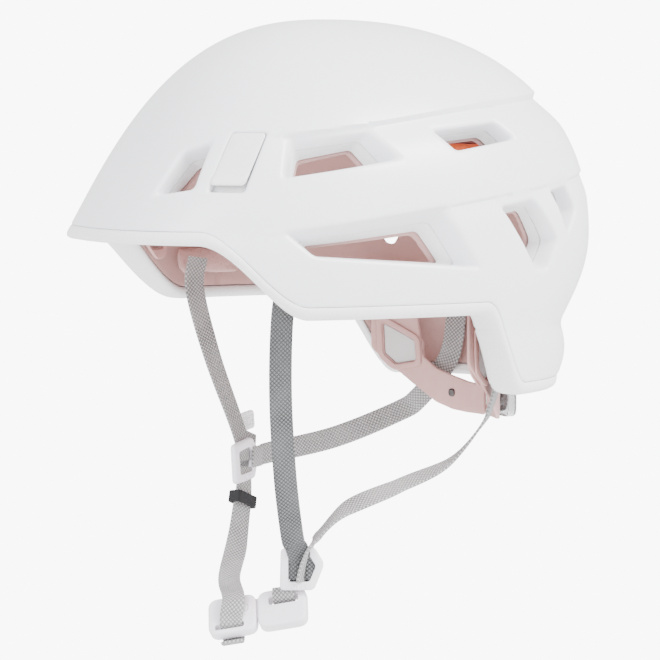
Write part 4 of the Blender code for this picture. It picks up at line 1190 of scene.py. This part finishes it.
# The two straps of the near side cross in a fold that fills their divider's window.
centre, axes = DIVIDERS["left"]
fold_route = smooth_route([centre + axes.T @ np.array(p, float)
                           for p in ((-8.0, 0.3, -0.9), (-2.0, 0.4, 0.3), (1.0, 0.4, -0.9),
                                     (4.0, 0.4, 0.3), (9.0, 0.3, -0.9))], 0.8)
fold = sweep("divider_fold_left", fold_route, (axes[1], axes[1]), WEB)
# The fold wears the same darker webbing, which is painted shade.
finish_piece(fold, "strap_shaded_grey", "shell", ())

# %% [markdown]
# ## Buckle, chin strap and keeper
# The release buckle is two rounded blocks that lie end to end. The one on the chin strap has a
# window with the sprung button and a slot for webbing.
# Both have a raised rim around their slots, where the real moulding is thickened.

# %% Buckle halves
BUCKLE_AXIS = np.array((-0.55, -0.82, -0.19))
BUCKLE_AXIS /= np.linalg.norm(BUCKLE_AXIS)
BUCKLE_AXES = plate_axes(BUCKLE_AXIS, (0.55, -0.52, 0.65))
PLUG_CENTRE = np.array((25.0, -38.0, -157.0))
SOCKET_CENTRE = PLUG_CENTRE + BUCKLE_AXIS * 27.0
BUCKLE_SIZE, BUCKLE_THICKNESS = (26.0, 22.0), 7.0


def in_buckle(along, across, up, centre):
    """A place given along the buckle's axis, across it and along its normal."""
    return centre + BUCKLE_AXES.T @ np.array((along, across, up), float)


def buckle_block(name, centre, slots, finish, body, nodes):
    """A rounded block with slots right through it; slots are sizes, places and radii."""
    holes = [(box_corners(*size, place), radius) for size, place, radius in slots]
    block = plate(name, centre, BUCKLE_AXES, BUCKLE_THICKNESS, (box_corners(*BUCKLE_SIZE), 5.5),
                  holes, 1.3, 1.0)
    return finish_piece(block, finish, body, nodes)


def small_plate(name, centre, size, radius, thickness, finish, body, nodes=(),
                holes=(), rim=0.5):
    """A little rounded plate parallel to the buckle."""
    part = plate(name, centre, BUCKLE_AXES, thickness, (box_corners(*size), radius), holes, rim,
                 0.6)
    return finish_piece(part, finish, body, nodes)


buckle_block("buckle_socket_block", SOCKET_CENTRE, (((16, 3.4), (1.5, 6.9), 1.6),),
             "buckle_lilac", "chin_side", ("buckle_socket",))
buckle_block("buckle_plug_block", PLUG_CENTRE, (((16, 5.0), (-1.0, -4.0), 2.0),),
             "buckle_lilac", "shell", ("buckle_plug",))
small_plate("window_rim", in_buckle(-4.5, -2.5, 3.4, SOCKET_CENTRE), (11.5, 7.5), 3.6, 0.9,
            "buckle_lilac", "chin_side", (),
            ((box_corners(8.9, 4.9), 2.3),), 0.3)
small_plate("button_cap", in_buckle(-4.5, -2.5, 3.3, SOCKET_CENTRE), (8.1, 4.1), 1.9, 1.4,
            "clip_milky", "release", ("release_button",))
small_plate("slot_rim_socket", in_buckle(1.5, 6.9, 3.3, SOCKET_CENTRE), (18.2, 5.4), 2.6, 0.9,
            "buckle_lilac", "chin_side", (),
            ((box_corners(16.2, 3.5), 1.6),), 0.3)
small_plate("slot_rim_plug", in_buckle(-1.0, -4.0, 3.3, PLUG_CENTRE), (18.6, 7.6), 3.2, 0.9,
            "buckle_lilac", "shell", (), ((box_corners(16.2, 5.2), 2.0),), 0.3)
small_plate("plug_tongue", in_buckle(13.5, -2.5, 0.0, PLUG_CENTRE), (3.0, 12.0), 0.8, 2.6,
            "buckle_lilac", "shell", ())

# %% [markdown]
# The chin strap hangs from the right divider, runs through the keeper and comes round under
# the buckle's socket. It swings with the socket while its top stays in the divider; here it
# hangs on no body, with its place baked into its points.

# %% Chin strap, loops, keeper and free end
CHIN_TOP = DIVIDER_RIGHT + (2.0, -1.5, -16.5)
CHIN_BEND = np.array((-44.5, -32.0, -115.0))
CHIN_THICKNESS = 1.5
CHIN_PLACES = (DIVIDER_RIGHT + (0.3, -0.2, -3.0), DIVIDER_RIGHT + (1.0, -0.8, -9.5), CHIN_TOP,
               CHIN_BEND, (-37, -38, -132), (-19, -50, -146),
               in_buckle(-2.0, -8.0, 7.0, SOCKET_CENTRE), in_buckle(0.0, 3.0, 5.0, SOCKET_CENTRE),
               in_buckle(0.5, 6.4, 3.0, SOCKET_CENTRE), in_buckle(0.8, 7.2, -1.0, SOCKET_CENTRE))
chin = sweep("chin_strap_web", smooth_route(CHIN_PLACES), (RIGHT_ACROSS, -BUCKLE_AXIS),
             band_section(WEB_WIDTH, CHIN_THICKNESS))
finish_piece(chin, "strap_grey", None, ("chin_strap", "chin_loop"))
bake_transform(chin)

UNDER_LOOP = ((1.0, 7.2, -1.0), (1.2, 7.6, -4.2), (1.4, 10.0, -5.4), (1.5, 13.0, -4.6),
              (1.5, 14.0, -1.0))
loop = sweep("chin_loop_web", smooth_route([in_buckle(*p, SOCKET_CENTRE) for p in UNDER_LOOP]),
             (BUCKLE_AXIS, BUCKLE_AXIS), WEB)
finish_piece(loop, "strap_grey", "chin_side", ())

PLUG_LOOP = ((-1.0, -4.0, -5.5), (-1.0, -4.0, 0.0), (-1.5, -4.3, 3.4), (-1.8, -6.2, 5.4),
             (-2.0, -9.5, 6.2))
loop = sweep("plug_loop_web", smooth_route([in_buckle(*p, PLUG_CENTRE) for p in PLUG_LOOP]),
             (BUCKLE_AXIS, BUCKLE_AXIS), WEB)
finish_piece(loop, "strap_grey", "shell", ("plug_loop",))

chin_down = CHIN_BEND - CHIN_TOP
chin_down /= np.linalg.norm(chin_down)
keeper_middle = CHIN_TOP + chin_down * 4.5
keeper_axes = plate_axes(RIGHT_ACROSS - chin_down * (chin_down @ RIGHT_ACROSS), chin_down)
keeper = plate("keeper_sleeve", keeper_middle, keeper_axes, 6.5, (box_corners(16.8, 8), 1.8),
               ((box_corners(14.2, 5.2), 0.9),), 0.5, 0.8)
finish_piece(keeper, "dark_rubber", "keeper", ("strap_keeper",))
ridge_axes = np.array([keeper_axes[0], keeper_axes[2], -keeper_axes[1]])
for k in range(5):
    spot = keeper_middle + keeper_axes.T @ np.array((-5.0 + 2.5 * k, -4.1, 0.0))
    ridge = plate(f"keeper_ridge_{k}", spot, ridge_axes, 0.7, (box_corners(1.0, 5.0), 0.45), (),
                  0.3, 0.5)
    finish_piece(ridge, "dark_rubber", "keeper", ())

TAIL_PLACES = [DIVIDER_RIGHT + (-6.3, 2.0, -10.0), DIVIDER_RIGHT + (-9.6, 5.9, 3.0),
               DIVIDER_RIGHT + (-14.0, 8.8, 14.0)]
tail = sweep("strap_tail_web", smooth_route(TAIL_PLACES), (RIGHT_ACROSS, RIGHT_ACROSS), WEB)
finish_piece(tail, "strap_grey", "shell", ("strap_tail",))
perforations = [(box_corners(1.3, 1.3, (-3.9 + 2.6 * i, -2.2 + 2.2 * j)), 0.6)
                for i in range(4) for j in range(3)]
tip = plate("strap_tip_plate", TAIL_PLACES[2] + (-2.2, -0.2, 6.3),
            DIVIDERS["right"][1], 1.8, (box_corners(12.0, 10.5), 2.6), perforations, 0.6, 0.6)
finish_piece(tip, "clip_milky", "shell", ("strap_tip",))

# %% [markdown]
# ## The cradle
# Two arms grip the head behind the ears and meet at the nape. An arm is a flat plate bent onto
# an oval: its pattern is the angle round the oval and the height, and its depth scales the
# oval. A frame stands up around the window, and a frosted pane sits in it.

# %% Arms, frames and panes
OVAL = np.array((70.0, 96.0))
ARM_DEGREE = 1.48                      # millimetres of arm in a degree of the oval
ARM_THICKNESS, WINDOW_RIM, OVAL_MEAN = 1.8, 1.3, 85.0
ARM_OUTLINE = ((34, -29), (38, -35), (44, -42), (50, -49), (60, -59), (68, -62.5), (76, -63.5),
               (88.5, -63.5), (88.5, -47.5), (76, -46), (68, -43.5), (60, -40), (54, -33),
               (50, 9), (38, 10), (34, 9))
WINDOW = ((38.5, -15.0), (51.0, -25.0), (51.5, -36.0), (43.5, -38.0), (39.0, -32.0))
PIVOT_ANGLE, PIVOT_HEIGHT = 42.6, 2.0


def arm_place(side, sink=0.0):
    """From millimetres round the oval, height and depth from the arm's outer face: the place
    on the oval is scaled by one plus half the arm's thickness less the depth, over the oval's
    mean radius."""
    def place(points):
        angle = np.radians(points[:, 0] / ARM_DEGREE)
        scale = 1 + (ARM_THICKNESS / 2 - points[:, 2] - sink) / OVAL_MEAN
        return np.stack([side * OVAL[0] * scale * np.cos(angle),
                         OVAL[1] * scale * np.sin(angle), points[:, 1]], 1)
    return place


def arm_ring(corners, rows, radius, spacing=1.6):
    """A ring in the arm's pattern from corners given as angle and height."""
    return flat_ring(corners, rows, radius, spacing, (ARM_DEGREE, 1.0))


for side, word in ((1, "left"), (-1, "right")):
    pivot_hole = box_corners(6.4 / ARM_DEGREE, 6.4, (PIVOT_ANGLE, PIVOT_HEIGHT))
    rings = [arm_ring(ARM_OUTLINE, round_edge(ARM_THICKNESS, 0.7), 2.4),
             arm_ring(WINDOW, hole_edge(ARM_THICKNESS, 0.4), 1.8),
             arm_ring(pivot_hole, hole_edge(ARM_THICKNESS, 0.4), 3.0)]
    arm = pierced_solid(f"arm_plate_{word}", rings, arm_place(side), 2.6)
    finish_piece(arm, "cradle_rose", "cradle", (f"cradle_arm_{word}",))

    for face, sink in (("inner", ARM_THICKNESS + 0.1), ("outer", -1.5)):
        window = np.array(WINDOW) * (ARM_DEGREE, 1)
        rings = [flat_ring(grown(window, 3.6), round_edge(WINDOW_RIM, 0.55), 3.6, 1.4),
                 flat_ring(grown(window, 0.5), hole_edge(WINDOW_RIM, 0.4), 2.0, 1.4)]
        rim = pierced_solid(f"window_rim_{face}_{word}", rings, arm_place(side, sink), 1.6)
        nodes = (f"window_frame_{word}",) if face == "inner" else ()
        finish_piece(rim, "cradle_rose", "cradle", nodes)

    pane_edge = tuple((depth, grow - 0.35) for depth, grow in round_edge(1.1, 0.3))
    pane = pierced_solid(f"pane_sheet_{word}", [arm_ring(WINDOW, pane_edge, 1.6)],
                         arm_place(side, 0.35), 2.2)
    finish_piece(pane, "pane_frosted", "cradle", (f"window_pane_{word}",))

    rivet_place = box_corners(4.6 / ARM_DEGREE, 4.6, (68.0, -53.0))
    rivet_ring = arm_ring(rivet_place, round_edge(4.0, 1.1), 2.2, 0.8)
    rivet = pierced_solid(f"arm_rivet_{word}", [rivet_ring], arm_place(side, -1.1), 0.9)
    finish_piece(rivet, "pin_metal", "cradle", ())

# %% [markdown]
# The cradle hangs from the shell on two narrow milky strips that make a V at the back, and a
# dial at the nape draws two racks through a clear case. The case is a cup: its wall goes up
# the inside, over the rim, down the outside and round to the back face.

# %% Height strips, case and dial
STRIP = ((24.0, 99.0, 9.0), (22.0, 97.5, -12.0), (15.0, 99.5, -26.0), (8.5, 101.0, -38.0),
         (6.0, 100.5, -46.8))
for side, word in ((1, "left"), (-1, "right")):
    places = smooth_route([(side * x, y, z) for x, y, z in STRIP])
    strip = sweep(f"height_strip_band_{word}", places, ((side * 0.9, 0.1, 0.3), (side, 0, 0)),
                  band_section(5.0, 1.0))
    finish_piece(strip, "clip_milky", "cradle", (f"height_strip_{word}",))

DIAL_HEIGHT = -55.0
CASE_FRONT, CASE_BACK, CASE_WALL = 97.4, 102.6, 1.2
DIAL_FACE = CASE_BACK + 0.3


def facing_back(points):
    """From pattern x, z and millimetres in front of the case's back face."""
    return np.stack([points[:, 0], CASE_BACK - points[:, 2], DIAL_HEIGHT + points[:, 1]], 1)


deep = CASE_BACK - CASE_FRONT
CASE_ROWS = ((0.0, -1.2), (0.1, -0.7), (0.35, -0.25), (0.8, 0.0), (deep - 0.3, 0.0),
             (deep, -0.3), (deep, -CASE_WALL + 0.2), (deep - 0.2, -CASE_WALL),
             (CASE_WALL + 0.3, -CASE_WALL), (CASE_WALL, -CASE_WALL - 0.4))
BORE_ROWS = ((0.0, 0.3), (0.3, 0.0), (0.8, 0.0), (CASE_WALL, 0.2))
case = pierced_solid("case_cup", [flat_ring(box_corners(46, 15), CASE_ROWS, 5.0, 1.2),
                                  flat_ring(box_corners(4.7, 4.7), BORE_ROWS, 2.3, 0.6)],
                     facing_back, 1.8)
finish_piece(case, "case_clear", "cradle", ("adjuster_housing",))


def build_dial():
    """A knurled knob: rings whose radius is the profile's, with 24 cosine flutes that are
    deepest half-way down the side and die out towards the face."""
    profile = np.array(((2.1, -1.6), (2.1, 0.0), (7.2, 0.0), (7.75, 0.4), (7.8, 1.6), (7.7, 2.7),
                        (7.1, 3.4), (6.3, 3.6), (4.6, 3.35), (2.4, 3.2), (0.6, 3.18)))
    turn = np.linspace(0, 2 * np.pi, 192, endpoint=False)
    flute = 0.32 * np.clip(profile[:, 0] - 6.4, 0, 1)
    radius = profile[:, :1] - flute[:, None] * (0.5 + 0.5 * np.cos(24 * turn))
    points = np.stack([radius * np.cos(turn), DIAL_FACE + profile[:, 1:] + 0 * radius,
                       DIAL_HEIGHT + radius * np.sin(turn)], -1)
    return lay_mesh("dial_knob", points.reshape(-1, 3), capped_faces(*radius.shape))


finish_piece(build_dial(), "dark_rubber", "dial", ("adjuster_dial",))

# %% [markdown]
# ## Anchors
# Webbing enters the liner through moulded anchors: a raised plate with a long slot, in the
# liner's colour. They lie on the dome at the depth of the pads.

# %% Strap anchors
ANCHOR_DEPTH, ANCHOR_THICK = 22.9, 2.5
ANCHORS = {"front": (-42.0, 30.0), "rear": (62.0, 14.0)}
for side, word in ((1, "left"), (-1, "right")):
    for spot, (direction, height) in ANCHORS.items():
        centre = (direction * DEGREE, height)

        def anchor_place(points, side=side):
            """The anchor's pattern on the dome, mirrored for the right side."""
            sunk = points + (0, 0, ANCHOR_DEPTH)
            return side_place(sunk) * (side, 1, 1)

        rings = [flat_ring(box_corners(20, 14, centre), round_edge(ANCHOR_THICK, 0.9), 5.5, 1.2),
                 flat_ring(box_corners(15.2, 3.4, centre), hole_edge(ANCHOR_THICK, 0.4), 1.5, 0.9)]
        anchor = pierced_solid(f"anchor_plate_{spot}_{word}", rings, anchor_place, 1.6)
        finish_piece(anchor, "cradle_rose", "shell", (f"{spot}_anchor_{word}",))

# %% [markdown]
# ## Pads
# Pads are the only soft parts, and they are made as cloth: a slightly small blank is remeshed
# evenly, inflated by a short simulation with no gravity, and every point's movement is capped
# so that the pad keeps its size. The rows of stitching are pressed in afterwards.

# %% Blank, inflate and stitch
PAD_VOXEL, PAD_CAP = 0.0025, 0.0016    # metres
PAD_SINK = PAD_OUT + 0.7
CLOTH_FRAMES, SEAM_WIDTH = 20, 0.9


def pad_blank(name, corners, place, thickness, radius, shrink=0.9):
    """The pad before it is filled: a plate a little smaller and thinner than the pad."""
    rows = tuple((depth, grow - shrink) for depth, grow in round_edge(thickness - 1.4, 1.4))
    return pierced_solid(name, [flat_ring(corners, rows, radius, 2.0)], place, 2.4)


def apply_modifiers(obj):
    """Replace the object's mesh with the evaluated one and drop its modifiers."""
    graph = bpy.context.evaluated_depsgraph_get()
    mesh = bpy.data.meshes.new_from_object(obj.evaluated_get(graph))
    obj.modifiers.clear()
    obj.data = mesh


def inflate(obj):
    """Fill a blank: even voxels, twenty frames of cloth under pressure, then each point goes
    no further than the cap from where it began, and one subdivision smooths the result."""
    remesh = obj.modifiers.new("even", "REMESH")
    remesh.mode = "VOXEL"
    remesh.voxel_size = PAD_VOXEL
    apply_modifiers(obj)
    start = np.zeros(len(obj.data.vertices) * 3)
    obj.data.vertices.foreach_get("co", start)
    cloth = obj.modifiers.new("fill", "CLOTH")
    cloth.settings.use_pressure = True
    cloth.settings.uniform_pressure_force = 4.0
    cloth.settings.effector_weights.gravity = 0.0
    cloth.settings.quality = 5
    for number in range(1, CLOTH_FRAMES + 1):
        bpy.context.scene.frame_set(number)
    apply_modifiers(obj)
    bpy.context.scene.frame_set(1)
    moved = np.zeros_like(start)
    obj.data.vertices.foreach_get("co", moved)
    step = (moved - start).reshape(-1, 3)
    length = np.linalg.norm(step, axis=1, keepdims=True)
    step *= np.minimum(1.0, PAD_CAP / np.maximum(length, 1e-9))
    obj.data.vertices.foreach_set("co", start + step.ravel())
    finer = obj.modifiers.new("finer", "SUBSURF")
    finer.levels = 1
    finer.render_levels = 1
    apply_modifiers(obj)
    obj.data.shade_smooth()


def stitch(obj, depth, inset):
    """Press a seam into a pad: a narrow groove where inset, a function of the points in
    millimetres, crosses zero; points move against their normals."""
    count = len(obj.data.vertices)
    place, normal = np.zeros(count * 3), np.zeros(count * 3)
    obj.data.vertices.foreach_get("co", place)
    obj.data.vertices.foreach_get("normal", normal)
    place, normal = place.reshape(-1, 3), normal.reshape(-1, 3)
    groove = depth * MM * np.exp(-(inset(place / MM) / SEAM_WIDTH) ** 2)
    obj.data.vertices.foreach_set("co", (place - normal * groove[:, None]).ravel())
    obj.data.update()


def dome_pad_place(side=1):
    """Pads on the side of the dome, at the pads' depth."""
    def place(points):
        return side_place(points + (0, 0, PAD_SINK)) * (side, 1, 1)
    return place


def patch_corners(first, last, low, high, steps=6):
    """Corners of a patch in shell millimetres and height, with a few points on long sides."""
    side = np.linspace(first, last, steps) * DEGREE
    return ([(s, low) for s in side] + [(s, high) for s in side[::-1]])


def finish_pad(obj, finish, seam, node):
    """Inflate and stitch one pad, then give it its material and body and hide its frame part."""
    inflate(obj)
    stitch(obj, 0.7, seam)
    finish_piece(obj, finish, "shell", (node,))


PAD_THICK = PAD_IN - PAD_OUT
brow = pad_blank("brow_cushion", patch_corners(-123.5, -56.5, 51.0, 67.0, 9), dome_pad_place(),
                 PAD_THICK, 6.0)
finish_pad(brow, "pad_orange", lambda p: p[:, 2] - 59.0, "brow_pad")
for side, word in ((1, "left"), (-1, "right")):
    temple = pad_blank(f"temple_cushion_{word}", box_corners(24 * DEGREE, 16, (-21 * DEGREE, 21)),
                       dome_pad_place(side), PAD_THICK, 6.0)
    finish_pad(temple, "pad_rose", lambda p: p[:, 1] + 38.0, f"temple_pad_{word}")
    rear = pad_blank(f"rear_cushion_{word}", box_corners(18.5 * DEGREE, 16.5, (70 * DEGREE, 91)),
                     dome_pad_place(side), PAD_THICK, 5.0)
    finish_pad(rear, "pad_orange", lambda p: p[:, 2] - 91.0, f"rear_pad_{word}")

# The crown pad is a leaf in the disc pattern: wide in the middle, narrow at both ends.
LEAF = ((-10.5, -48), (10.5, -48), (16, -24), (17.5, 0), (16, 24), (10.5, 48), (-10.5, 48),
        (-16, 24), (-17.5, 0), (-16, -24))


def crown_place(points):
    """Pads under the crown: the disc pattern at the pads' depth."""
    return plain_place(points + (0, 0, PAD_SINK))


crown = pad_blank("crown_cushion", LEAF, crown_place, PAD_THICK, 6.0)
finish_pad(crown, "pad_orange", lambda p: p[:, 0], "crown_pad")

# %% [markdown]
# ## Small parts that the frame already shapes well
# The pinion, the racks, the pivot bosses and the pivot pins keep their own solids. They only
# need finishes, which go into their material slots.

# %% Finishes for the frame's own small parts
KEPT = {"adjuster_pinion": "clip_milky", "rack_left": "cradle_rose", "rack_right": "cradle_rose",
        "pivot_boss_left": "cradle_rose", "pivot_boss_right": "cradle_rose",
        "pivot_pin_left": "pin_metal", "pivot_pin_right": "pin_metal"}
for node, finish in KEPT.items():
    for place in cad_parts[node].material_slots:
        place.material = FINISHES[finish]
print("kept from the frame:", ", ".join(sorted(KEPT)))
